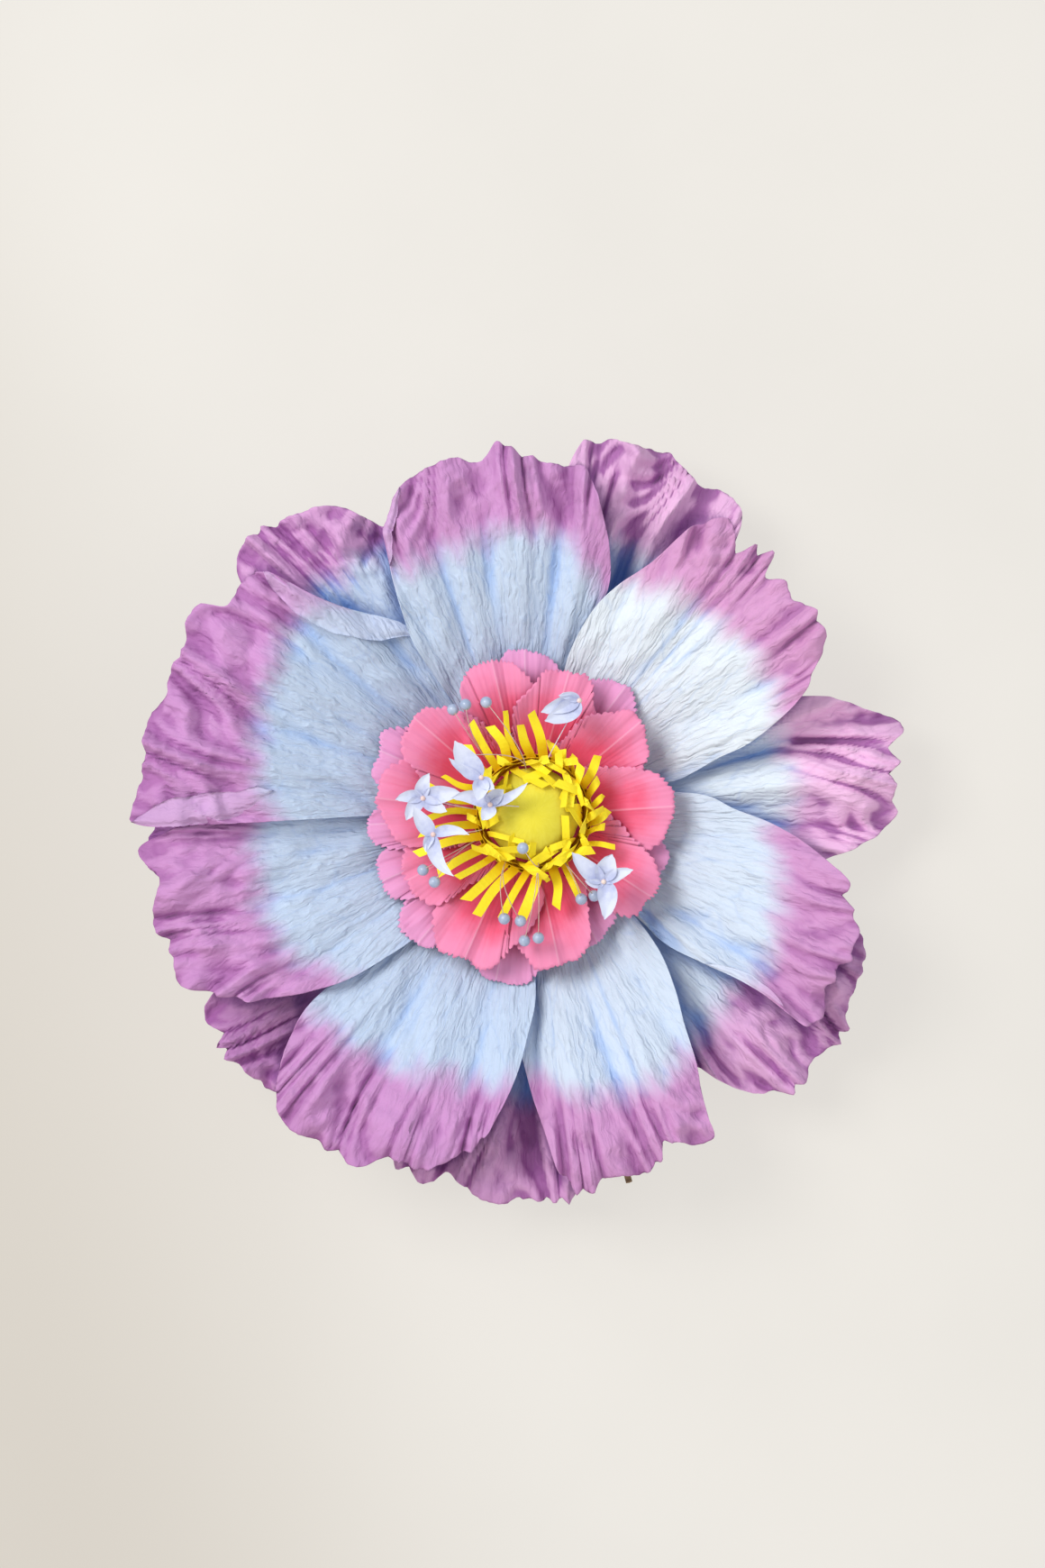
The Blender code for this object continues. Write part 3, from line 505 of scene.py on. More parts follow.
def centreBall(material):
    around, down = centre["around"], centre["down"]
    turns = np.linspace(0.0, 360.0, around, endpoint=False)
    reaches = np.linspace(0.0, 180.0, down)
    turn, reach = np.meshgrid(np.radians(turns), np.radians(reaches))
    lines = creases(turn * 7.0, reach * 1.5, 31) * 0.5 + creases(turn * 17.0, reach * 2.2, 32) * 0.3
    lines *= np.sin(reach) ** 0.7
    lines = 0.5 * (lines + np.roll(lines, 1, axis=1))
    size = centre["radius"] - 0.8 + lines
    x = centre["x"] + size * np.sin(reach) * np.cos(turn)
    z = centre["z"] + size * np.sin(reach) * np.sin(turn)
    y = -(centre["height"] + size * np.cos(reach))
    index = np.arange(around * down).reshape(down, around)
    nextIndex = np.roll(index, -1, axis=1)
    faces = np.stack([index[:-1], nextIndex[:-1], nextIndex[1:], index[1:]], axis=-1).reshape(-1, 4)
    places = np.stack([np.cos(turn) * 40.0, np.sin(turn) * 40.0, reach * 25.0], axis=-1).reshape(-1, 3) * mm
    points = np.stack([x, y, z], axis=-1).reshape(-1, 3)
    ball = makeMesh("crepe_ball", points, faces, {"along": reach / math.pi}, places)
    shape = bmesh.new()
    shape.from_mesh(ball.data)
    bmesh.ops.remove_doubles(shape, verts=shape.verts, dist=0.00001)
    bmesh.ops.recalc_face_normals(shape, faces=shape.faces)
    shape.to_mesh(ball.data)
    shape.free()
    finishPiece(ball, "centre_ball", material)


fringe = {
    "paper": 0.35, "steps": 11, "ring": ((64.0, 0.0), (80.0, 2.4)),   # the uncut part: height, and how it flares
    "inner": {"strips": 27, "foot": 38.2, "width": 6.6},
    "middle": {"strips": 27, "foot": 41.0, "width": 6.6},
    "outer": {"foot": 43.5, "width": 7.4,
              "tips": [(3, 58), (15, 56), (28, 57), (42, 67), (54, 55), (66, 54), (79, 58), (91, 78), (98, 69),
                       (105, 82), (116, 75), (124, 85), (134, 74), (157, 75), (165, 88), (183, 84), (190, 88),
                       (199, 95), (212, 86), (220, 76), (232, 84), (241, 89), (253, 84), (264, 80), (284, 74),
                       (299, 75), (318, 62), (338, 68), (350, 56)]},
}


# A band round the ball with its front edge cut into strips.
def fringeBand(kind, path, material, seed):
    band = fringe[kind]
    strips = len(band["tips"]) if "tips" in band else band["strips"]
    dice = np.random.default_rng(seed)
    points, faces, along = [], [], []
    middle = np.array([centre["x"], 0.0, centre["z"]])
    for strip in range(strips):
        degrees = strip * 360.0 / strips - 8.0
        line = path(strip, degrees, dice)
        width = band["width"] * dice.uniform(0.6, 1.15)
        twist = dice.uniform(-1.0, 1.0)
        skew = dice.uniform(-0.35, 0.35)
        tangent = np.gradient(line, axis=0)
        tangent /= np.linalg.norm(tangent, axis=1)[:, None]
        turn = math.radians(degrees)
        aside = np.array([-math.sin(turn), 0.0, math.cos(turn)])
        begin = sum(len(p) for p in points)
        rows = []
        for step, (place, way) in enumerate(zip(line, tangent)):
            share = step / (len(line) - 1)
            across = aside - way * aside.dot(way)
            across /= np.linalg.norm(across)
            up = np.cross(way, across)
            lean = twist * share
            across = across * math.cos(lean) + up * math.sin(lean)
            bow = up * 0.12
            end = way * skew * width * (1.0 if step == len(line) - 1 else 0.0)
            for k, s in enumerate((-0.5, 0.0, 0.5)):
                rows.append(middle + place + across * width * s + bow * (1.0 - abs(2 * s)) + end * s * 2.0)
                along.append(share)
        points.append(np.array(rows))
        faces.append(gridFaces(len(line), 3, begin))
    # the uncut ring that the strips grow from
    ring, around = [], 96
    for height, flare in fringe["ring"]:
        for k in range(around + 1):
            turn = 2.0 * math.pi * k / around
            size = band["foot"] + flare
            ring.append(middle + np.array([size * math.cos(turn), -height, size * math.sin(turn)]))
            along.append(0.0)
    begin = sum(len(p) for p in points)
    points.append(np.array(ring))
    faces.append(gridFaces(2, around + 1, begin))
    points = np.concatenate(points)
    name, values = "cut_" + kind + "_band", {"along": along}
    made = makeMesh(name, points, np.concatenate(faces), values, points * mm, smooth=False)
    addThickness(made, fringe["paper"])
    finishPiece(made, "fringe_band_" + kind, material)


# A strip that stands up from its band, then flops over to its tip.
def flopping(foot, degrees, bend, tip):
    start, over, end = polar(degrees, foot, 76.0), polar(*bend), polar(*tip)
    return bezier(start, start.lerp(over, 0.8), over, end, fringe["steps"])


# How far from the wall the ball's front is at this radius, and then some.
def onBall(radius, above):
    return centre["height"] + math.sqrt(max(0.0, centre["radius"]**2 - radius**2)) + above


# Flops inwards onto the ball, or every third one outwards.
def hugging(strip, degrees, dice):
    if strip % 3 == 2:
        tip = (degrees + dice.uniform(-40.0, 40.0), dice.uniform(43.0, 52.0), dice.uniform(103.0, 110.0))
        return flopping(fringe["inner"]["foot"], degrees, (degrees, 39.0, 112.0), tip)
    radius = dice.uniform(21.0, 30.0)
    tip = (degrees + dice.uniform(-48.0, 48.0), radius, onBall(radius, dice.uniform(1.5, 7.0)))
    bend = (degrees + dice.uniform(-6.0, 6.0), 37.0, 106.0 + 1.5 * (strip % 3))
    return flopping(fringe["inner"]["foot"], degrees, bend, tip)


# Flops to the side, inwards or outwards in turn.
def standing(strip, degrees, dice):
    side, way = dice.choice((-1.0, 1.0)), strip % 3
    if way == 0:
        tip = (degrees + side * dice.uniform(8.0, 24.0), dice.uniform(49.0, 56.0), dice.uniform(97.0, 104.0))
    elif way == 1:
        tip = (degrees + side * dice.uniform(26.0, 40.0), dice.uniform(38.0, 46.0), dice.uniform(105.0, 112.0))
    else:
        radius = dice.uniform(27.0, 34.0)
        tip = (degrees + side * dice.uniform(20.0, 45.0), radius, onBall(radius, dice.uniform(6.0, 11.0)))
    bend = (degrees + side * 4.0, 42.0, 108.0 + 2.0 * (strip % 2))
    return flopping(fringe["middle"]["foot"], degrees, bend, tip)


def falling(strip, degrees, dice):
    share = np.linspace(0.0, 1.0, fringe["steps"])
    tipTurn, tipRadius = fringe["outer"]["tips"][strip]
    foot, tip = polar(degrees, fringe["outer"]["foot"], 0.0), polar(tipTurn, tipRadius, 0.0)
    flat = np.array(foot)[None] + (np.array(tip) - np.array(foot))[None] * share[:, None] ** 1.05
    arch = 19.0 * np.sin(np.radians(14.0 + 100.0 * share)) + dice.uniform(-1.0, 4.0) * share
    flat[:, 1] = -(74.0 + arch)
    sideways = np.array([-math.sin(math.radians(degrees)), 0.0, math.cos(math.radians(degrees))])
    return flat + sideways * (dice.uniform(-4.5, 4.5) * np.sin(math.pi * share) ** 1.5)[:, None]


def bezier(a, b, c, d, count):
    t = np.linspace(0.0, 1.0, count)[:, None]
    a, b, c, d = (np.array(p, float) for p in (a, b, c, d))
    return a * (1 - t)**3 + b * 3 * (1 - t)**2 * t + c * 3 * (1 - t) * t**2 + d * t**3


# Points and faces of a round wire along a path.
def tube(path, radius, sides=8):
    path = np.asarray(path)
    way = np.gradient(path, axis=0)
    way /= np.linalg.norm(way, axis=1)[:, None]
    side = np.cross(way[0], [0.3, 0.2, 0.9])
    points = []
    for place, along in zip(path, way):
        side = side - along * side.dot(along)
        side /= np.linalg.norm(side)
        up = np.cross(along, side)
        for k in range(sides):
            a = 2.0 * math.pi * k / sides
            points.append(place + radius * (side * math.cos(a) + up * math.sin(a)))
    faces = []
    for i in range(len(path) - 1):
        for k in range(sides):
            a, b = i * sides + k, i * sides + (k + 1) % sides
            faces.append((a, b, b + sides, a + sides))
    return np.array(points), faces


def bead(place, radius, around=24, down=14):
    points, faces = [], []
    for i in range(down + 1):
        out = math.pi * i / down
        for k in range(around):
            a = 2.0 * math.pi * k / around
            points.append(np.array(place) + radius * np.array(
                [math.sin(out) * math.cos(a), -math.cos(out), math.sin(out) * math.sin(a)]))
    for i in range(down):
        for k in range(around):
            a, b = i * around + k, i * around + (k + 1) % around
            faces.append((a, b, b + around, a + around))
    return np.array(points), faces


# One object from several lots of points, faces, material number and values.
def joined(name, parts):
    points, faces, numbers, along = [], [], [], []
    start = 0
    for some, shown, number, share in parts:
        points.append(some)
        faces += [tuple(i + start for i in f) for f in shown]
        numbers += [number] * len(shown)
        along.append(share)
        start += len(some)
    points = np.concatenate(points)
    made = makeMesh(name, points, faces, {"along": np.concatenate(along)}, points * mm)
    made.data.polygons.foreach_set("material_index", numbers)
    return made


# From inside the fringe, up over its edge and out to the end.
def wireOut(root, end):
    start = np.array(root) * np.array([0.72, 0.86, 0.72])
    lift = np.array([0.0, -12.0, 0.0])
    return bezier(start, np.array(root) + lift * 0.6, np.array(root) * 0.35 + np.array(end) * 0.65 + lift, end, 26)


stamens = {
    "pearl": 4.5, "wire": 0.36,
    # the pearls' places, then where the wire comes out of the fringe, as degrees, radius and height
    "pairs": [([(125, 100, 100), (119, 98, 106)], (126, 76, 96)),
              ([(110, 93, 108), (136, 67, 118)], (92, 50, 118)),
              ([(207, 90, 101), (215, 87, 107)], (205, 62, 104)),
              ([(257, 80, 108), (266, 80, 104)], (244, 54, 110)),
              ([(268.5, 95, 100), (275, 93, 105)], (281, 48, 114)),
              ([(303, 75, 108), (310, 79, 104)], (309, 55, 110)),
              ([(261, 24, 130)], (283, 47, 116))],
}


def pearlStamens(pearl, wireMetal):
    for number, (places, root) in enumerate(stamens["pairs"], 1):
        parts = []
        for place in places:
            end = np.array(polar(*place))
            path = wireOut(polar(*root), end)
            points, faces = tube(path, stamens["wire"])
            parts.append((points, faces, 1, np.zeros(len(points))))
            points, faces = bead(end, stamens["pearl"])
            parts.append((points, faces, 0, np.ones(len(points))))
        made = joined(f"stamen_{number}", parts)
        made.data.materials.append(pearl)
        finishPiece(made, f"pearl_stamen_{number}", wireMetal)


stars = {
    "wire": 0.38, "bead": 2.1, "longer": 1.1, "wider": 1.15,
    # centre as degrees, radius and height, where the wire comes out, then each petal's direction, length and width
    "flowers": [((66, 97, 112), (72, 48, 108), [(150, 15, 6), (194, 28, 10), (226, 28, 13)]),
                ((139.5, 46, 143), (150, 22, 120), [(136, 31, 14), (160, 26, 6), (268, 16, 10), (300, 12, 8)]),
                ((170, 81, 118), (172, 50, 110), [(100, 18, 9), (15, 27, 11), (165, 19, 8), (217, 19, 9),
                                                  (325, 19, 9)]),
                ((190.5, 73, 129), (196, 46, 112), [(22, 25, 7), (133, 23, 10), (225, 13, 6), (268, 32, 9)]),
                ((162, 30, 131), (80, 8, 119), [(18, 30, 6), (68, 14, 9), (148, 27, 9), (262, 12, 9)]),
                ((319.5, 76, 118), (322, 50, 108), [(32, 22, 8), (82, 20, 13), (144, 30, 11), (200, 13, 6),
                                                    (290, 26, 12)])],
}


# One narrow petal, cupped along its middle and curled up at the tip.
def starLeaf(centrePlace, direction, length, width, dice):
    rows, columns = 15, 9
    t = np.linspace(0.0, 1.0, rows)[:, None]
    s = np.linspace(-1.0, 1.0, columns)[None]
    half = 0.62 * width * (0.16 + 0.84 * np.sin(math.pi * np.minimum(t**0.75, 1.0)) ** 0.8 * (1.0 - 0.3 * t))
    half = half * (1.0 - 0.75 * ease(0.86, 1.0, t))
    bend = math.radians(dice.uniform(-30.0, 30.0)) * t**1.5
    u = length * t
    v = half * s
    turn = math.radians(direction) + bend
    lift = 1.5 + length * (0.05 * t + 0.16 * t**2) + 0.38 * half * (s**2)
    lift = lift + 0.5 * softNoise(t * 3.0 + direction, s * 1.5, 5)
    x = centrePlace[0] + u * np.cos(turn) - v * np.sin(turn)
    z = centrePlace[2] + u * np.sin(turn) + v * np.cos(turn)
    y = centrePlace[1] - lift
    points = np.stack([x, y, z], axis=-1).reshape(-1, 3)
    return points, [tuple(f) for f in gridFaces(rows, columns)], 0, (t * np.ones_like(x)).ravel()


def starFlowers(palePaper, beadPaint, wirePaint):
    dice = np.random.default_rng(77)
    for number, (place, root, petals) in enumerate(stars["flowers"], 1):
        spot = np.array(polar(*place))
        parts = [starLeaf(spot, direction, stars["longer"] * length, stars["wider"] * width, dice)
                 for direction, length, width in petals]
        points, faces = bead(spot + np.array([0.0, -1.6, 0.0]), stars["bead"], 14, 9)
        parts.append((points, faces, 1, np.ones(len(points))))
        path = bezier(np.array(polar(*root)) * 0.8, np.array(polar(*root)) + [0, -4, 0], spot + [0, 9, 0], spot, 24)
        points, faces = tube(path, stars["wire"])
        parts.append((points, faces, 2, np.zeros(len(points))))
        made = joined(f"star_{number}", parts)
        for paint in (palePaper, beadPaint):
            made.data.materials.append(paint)
        finishPiece(made, f"star_flower_{number}", wirePaint)


# sockets are given by name, or by number as _0, _1 and so on
def addNode(tree, kind, settings=None, **sockets):
    node = tree.nodes.new("ShaderNode" + kind)
    for key, value in (settings or {}).items():
        setattr(node, key, value)
    for key, value in sockets.items():
        socket = node.inputs[int(key[1:])] if key[0] == "_" else node.inputs[key.replace("_", " ")]
        if isinstance(value, bpy.types.NodeSocket):
            tree.links.new(value, socket)
        else:
            socket.default_value = value
    return node


def calc(tree, operation, *values, clamp=False):
    sockets = {f"_{number}": value for number, value in enumerate(values)}
    return addNode(tree, "Math", {"operation": operation, "use_clamp": clamp}, **sockets).outputs[0]


def scaled(tree, place, by):
    return addNode(tree, "VectorMath", {"operation": "MULTIPLY"}, _0=place, _1=by).outputs[0]


def noise(tree, place, scale, detail, dimensions="3D"):
    return addNode(tree, "TexNoise", {"noise_dimensions": dimensions}, Vector=place, Scale=scale, Detail=detail)


def cellEdges(tree, place, scale):
    kind = {"voronoi_dimensions": "2D", "feature": "DISTANCE_TO_EDGE"}
    return addNode(tree, "TexVoronoi", kind, Vector=place, Scale=scale).outputs["Distance"]


def stretch(tree, value, low, high, toLow=0.0, toHigh=1.0, soft=True):
    kind = {"interpolation_type": "SMOOTHSTEP" if soft else "LINEAR"}
    return addNode(tree, "MapRange", kind, Value=value, From_Min=low, From_Max=high,
                   To_Min=toLow, To_Max=toHigh).outputs[0]


def mixColour(tree, amount, first, second):
    node = addNode(tree, "Mix", {"data_type": "RGBA"})
    for socket, value in ((node.inputs[0], amount), (node.inputs[6], first), (node.inputs[7], second)):
        if isinstance(value, bpy.types.NodeSocket):
            tree.links.new(value, socket)
        else:
            socket.default_value = (*value, 1.0) if isinstance(value, tuple) else value
    return node.outputs[2]


# the number stored on the sheet's points under this name
def stored(tree, name):
    return addNode(tree, "Attribute", {"attribute_name": name}).outputs["Fac"]


# where on the paper this is, in metres: round the flower, out from its axis, and by sheet
def paperPlace(tree):
    return addNode(tree, "Attribute", {"attribute_name": "paperPlace"}).outputs["Vector"]


# An empty node group with the given sockets, as (name, kind, default).
def newGroup(name, ins, outs):
    tree = bpy.data.node_groups.new(name, "ShaderNodeTree")
    for label, kind, value in ins:
        socket = tree.interface.new_socket(label, in_out="INPUT", socket_type=kind)
        if value is not None:
            socket.default_value = value
    for label, kind in outs:
        tree.interface.new_socket(label, in_out="OUTPUT", socket_type=kind)
    return tree, tree.nodes.new("NodeGroupInput"), tree.nodes.new("NodeGroupOutput")


# how fine each kind of crease is, how much it shows, and how deep they all go, in metres
creaseLook = {
    "wander": 70.0, "wanderBy": 0.008,
    "broad": 62.0, "broadShare": 0.5, "small": 150.0, "smallShare": 0.6,
    "grain": 300.0, "grainShare": 0.36, "depth": 0.0065,
}


# The facets and fine creases of crushed paper, drawn out along the petal, and a mask of its broad creases for painted
# shade.
def crushedPaperGroup():
    tree, take, give = newGroup(
        "crushedPaper",
        [("Place", "NodeSocketVector", None), ("Depth", "NodeSocketFloat", 1.0)],
        [("Normal", "NodeSocketVector"), ("CreaseShade", "NodeSocketFloat")])
    by = creaseLook["wanderBy"]
    wander = noise(tree, take.outputs["Place"], creaseLook["wander"], 2.0, "2D")
    pushed = addNode(tree, "VectorMath", {"operation": "MULTIPLY_ADD"}, _0=wander.outputs["Color"],
                     _1=(by, by, 0.0), _2=take.outputs["Place"]).outputs[0]
    long = scaled(tree, pushed, (1.0, 0.27, 1.0))
    broad = cellEdges(tree, long, creaseLook["broad"])
    small = cellEdges(tree, long, creaseLook["small"])
    patchy = stretch(tree, wander.outputs[0], 0.38, 0.62, soft=False)
    grain = noise(tree, scaled(tree, pushed, (1.0, 0.13, 1.0)), creaseLook["grain"], 2.0, "2D").outputs[0]
    wide = calc(tree, "MULTIPLY", broad, creaseLook["broadShare"])
    both = calc(tree, "MULTIPLY_ADD", calc(tree, "MULTIPLY", small, patchy), creaseLook["smallShare"], wide)
    height = calc(tree, "MULTIPLY_ADD", grain, creaseLook["grainShare"], both)
    bump = addNode(tree, "Bump", None, Strength=take.outputs["Depth"], Distance=creaseLook["depth"], Height=height)
    # painted shade mask, 1 on the broad creases
    grooveShade = stretch(tree, broad, 0.0, 0.06, 1.0, 0.0, soft=False)
    tree.links.new(bump.outputs["Normal"], give.inputs["Normal"])
    tree.links.new(grooveShade, give.inputs["CreaseShade"])
    return tree


# Roughens a smooth mask as dye creeps into dry paper.
def inkSpreadGroup():
    tree, take, give = newGroup(
        "inkSpread",
        [("Amount", "NodeSocketFloat", 0.5), ("Place", "NodeSocketVector", None), ("Bleed", "NodeSocketFloat", 0.5)],
        [("Mask", "NodeSocketFloat")])
    streak = noise(tree, scaled(tree, take.outputs["Place"], (1.0, 0.35, 1.0)), 90.0, 5.0).outputs[0]
    centred = calc(tree, "SUBTRACT", streak, 0.5)
    pushed = calc(tree, "MULTIPLY_ADD", centred, take.outputs["Bleed"], take.outputs["Amount"])
    tree.links.new(stretch(tree, pushed, 0.12, 0.82), give.inputs["Mask"])
    return tree


crushed, inkSpread = crushedPaperGroup(), inkSpreadGroup()


def newMaterial(name, roughness, specular=0.3):
    material = bpy.data.materials.new(name)
    material.use_nodes = True
    tree = material.node_tree
    shader = tree.nodes["Principled BSDF"]
    shader.inputs["Roughness"].default_value = roughness
    shader.inputs["Specular IOR Level"].default_value = specular
    return material, tree, shader


# gives the shader its colour, and its relief in metres
def coat(tree, shader, colour, height, strength, distance):
    tree.links.new(colour, shader.inputs["Base Color"])
    bump = addNode(tree, "Bump", None, Strength=strength, Distance=distance, Height=height)
    tree.links.new(bump.outputs["Normal"], shader.inputs["Normal"])


# pale and band are mixed by a number for each petal: the first at 0 and the second at 1. That number is painted
# light: high on the right-hand petals, which it paints paler, and low on the left-hand ones, which it paints darker.
petalDyeAndShade = {
    # after the pale pair, painted shade for hollows and creases, then beneath a neighbour; after the band pair, its
    # darker dye near the rim that also shades its hollows, then painted shade beneath a neighbour
    "front": {"pale": ((0.47, 0.59, 0.79), (0.74, 0.81, 0.89)), "hollowShadeColour": (0.30, 0.46, 0.80), "deep": (0.11, 0.24, 0.58),
              "band": ((0.55, 0.27, 0.56), (0.64, 0.32, 0.57)), "bandDarkDyeAndShade": (0.30, 0.09, 0.30),
              "bandShadeBeneath": (0.17, 0.05, 0.22), "reverse": (0.70, 0.66, 0.87), "shade": 0.8, "valleyShade": 0.6},
    "back": {"pale": ((0.46, 0.59, 0.80), (0.75, 0.83, 0.90)), "hollowShadeColour": (0.22, 0.38, 0.74), "deep": (0.09, 0.20, 0.52),
             "band": ((0.50, 0.23, 0.51), (0.86, 0.52, 0.78)), "bandDarkDyeAndShade": (0.34, 0.11, 0.35),
             "bandShadeBeneath": (0.18, 0.06, 0.23), "reverse": (0.56, 0.50, 0.80), "shade": 0.62, "valleyShade": 0.9},
    "creaseDepth": 0.6, "bleed": 0.5,
}


# Dyed paper, pale on its ridges, with painted shade: darker in its hollows and creases and darkest where it lies
# under a neighbour.
def petalPaper(name, dyesAndShades):
    material, tree, shader = newMaterial(name, 0.72, 0.2)
    place, dye, sideLight = paperPlace(tree), stored(tree, "dye"), stored(tree, "sideLight")
    paper = addNode(tree, "Group", {"node_tree": crushed}, Place=place, Depth=petalDyeAndShade["creaseDepth"])
    ink = addNode(tree, "Group", {"node_tree": inkSpread}, Amount=dye, Place=place, Bleed=petalDyeAndShade["bleed"])
    # painted shade in the hollows of the paper
    valleyShade = stretch(tree, stored(tree, "hollowShade"), 0.36, 1.0, 0.0, dyesAndShades["valleyShade"])
    # painted shade in the broad creases
    creaseShade = stretch(tree, paper.outputs["CreaseShade"], 0.0, 1.0, 0.0, 0.16)
    # the painted shade of hollows and creases together
    dark = calc(tree, "ADD", valleyShade, creaseShade, clamp=True)
    # painted shade beneath a neighbour, for body and band
    under = stretch(tree, stored(tree, "shadeBeneath"), 0.0, 1.0, 0.0, dyesAndShades["shade"])
    # painted light: the right-hand petals get the paler colour of each pair
    pale, rim = mixColour(tree, sideLight, *dyesAndShades["pale"]), mixColour(tree, sideLight, *dyesAndShades["band"])
    body = mixColour(tree, under, mixColour(tree, dark, pale, dyesAndShades["hollowShadeColour"]), dyesAndShades["deep"])
    rim = mixColour(tree, stretch(tree, dye, 1.3, 2.6, 0.0, 0.28), rim, dyesAndShades["bandDarkDyeAndShade"])
    # painted shade in the band's hollows and creases
    rim = mixColour(tree, calc(tree, "MULTIPLY", dark, 0.9, clamp=True), rim, dyesAndShades["bandDarkDyeAndShade"])
    dyed = mixColour(tree, ink.outputs["Mask"], body, mixColour(tree, under, rim, dyesAndShades["bandShadeBeneath"]))
    turned = stretch(tree, stored(tree, "reverse"), 0.0, 1.0, 0.0, 0.22)
    tree.links.new(mixColour(tree, turned, dyed, dyesAndShades["reverse"]), shader.inputs["Base Color"])
    tree.links.new(paper.outputs["Normal"], shader.inputs["Normal"])
    return material


# Crimped paper: darker at the heart, ribs that run out to the edge, a pale midrib, and painted shade where it lies
# under a neighbour.
def ribbedPaper(name, heart, rim, pale):
    material, tree, shader = newMaterial(name, 0.7)
    place = paperPlace(tree)
    ribs = noise(tree, scaled(tree, place, (1.0, 0.06, 1.0)), 520.0, 4.0).outputs[0]
    faded = calc(tree, "MULTIPLY_ADD", noise(tree, place, 60.0, 4.0).outputs[0], 0.35, stored(tree, "along"))
    colour = mixColour(tree, stretch(tree, faded, 0.72, 1.14), heart, rim)
    colour = mixColour(tree, stretch(tree, ribs, 0.5, 0.85, 0.0, 0.13), colour, pale)
    near = calc(tree, "ABSOLUTE", stored(tree, "across"))
    colour = mixColour(tree, stretch(tree, near, 0.0, 0.035, 0.45, 0.0), colour, pale)
    # painted shade where the petal lies under a neighbour
    under = stretch(tree, stored(tree, "shadeBeneath"), 0.0, 1.0, 0.0, 0.5)
    colour = mixColour(tree, under, colour, tuple(0.55 * part for part in heart))
    coat(tree, shader, colour, ribs, 0.5, 0.0008)
    return material


# Yellow crepe with grain, deep where along is low: painted shade at the feet of the cut strips and on their uncut
# ring; on the ball the deep colour lies over its front.
def yellowCrepe(name, light, deep, scale):
    material, tree, shader = newMaterial(name, 0.62)
    grain = noise(tree, paperPlace(tree), scale, 5.0).outputs[0]
    shade = calc(tree, "MULTIPLY_ADD", grain, 0.5, stored(tree, "along"))
    coat(tree, shader, mixColour(tree, stretch(tree, shade, 0.2, 0.75), deep, light), grain, 0.5, 0.0006)
    return material


def pearlPaint(name, colour, other, roughness):
    material, tree, shader = newMaterial(name, roughness, 0.5)
    cloud = noise(tree, paperPlace(tree), 260.0, 3.0).outputs[0]
    coat(tree, shader, mixColour(tree, stretch(tree, cloud, 0.35, 0.7), colour, other), cloud, 0.15, 0.0003)
    shader.inputs["Coat Weight"].default_value = 0.25
    return material


def palePaperPaint(name, dark, light):
    material, tree, shader = newMaterial(name, 0.6)
    veins = noise(tree, paperPlace(tree), 220.0, 5.0).outputs[0]
    mixed = calc(tree, "MULTIPLY_ADD", veins, 0.9, stored(tree, "along"))
    coat(tree, shader, mixColour(tree, stretch(tree, mixed, 0.3, 1.2), dark, light), veins, 0.5, 0.0005)
    return material


# A tape or twine wound round a core, in the piece's own places.
def wrappedPaint(name, light, dark, scale, turn, roughness):
    material, tree, shader = newMaterial(name, roughness)
    place = addNode(tree, "TexCoord").outputs["Object"]
    tilted = addNode(tree, "Mapping", None, Vector=place, Rotation=turn).outputs[0]
    wraps = addNode(tree, "TexWave", {"wave_type": "BANDS", "bands_direction": "Z", "wave_profile": "SAW"},
                    Vector=tilted, Scale=scale, Distortion=1.0, Detail=2.0).outputs["Fac"]
    both = calc(tree, "MULTIPLY_ADD", noise(tree, place, 700.0, 4.0).outputs[0], 0.6, wraps)
    coat(tree, shader, mixColour(tree, stretch(tree, both, 0.2, 1.3), dark, light), both, 0.6, 0.0008)
    return material


# Pressed foam beads, a little yellowed in places.
def foamPaint(name, clean, yellowed):
    material, tree, shader = newMaterial(name, 0.8)
    place = addNode(tree, "TexCoord").outputs["Object"]
    beads = addNode(tree, "TexVoronoi", {"feature": "F1"}, Vector=place, Scale=320.0).outputs[0]
    old = stretch(tree, noise(tree, place, 22.0, 6.0).outputs[0], 0.4, 0.75)
    coat(tree, shader, mixColour(tree, old, clean, yellowed), beads, 0.3, 0.0006)
    return material


# the wall and floor glow with painted light and darken towards a painted shade colour on their left
look = {
    "wall": (0.86, 0.83, 0.78), "wallShade": (0.70, 0.655, 0.59), "wallGlow": 0.775, "wallBounce": 0.2,
    "planeSize": 8.0, "floorHeight": -0.95,
    "world": (0.86, 0.93, 1.0), "worldStrength": 0.46,
    "keyPlace": (-1.75, -2.75, 1.15), "keySize": 1.6, "keyPower": 91.0, "keyColour": (1.0, 0.985, 0.96),
    "fillPlace": (2.2, -2.8, 0.2), "fillSize": 2.4, "fillShare": 0.17, "fillColour": (0.97, 0.98, 1.0),
    "lampAim": (0.0, -0.06, 0.0),
    "viewMiddle": (-0.0040, -0.09, 0.0250), "cameraAway": 3.0, "viewTall": 1.205,
}


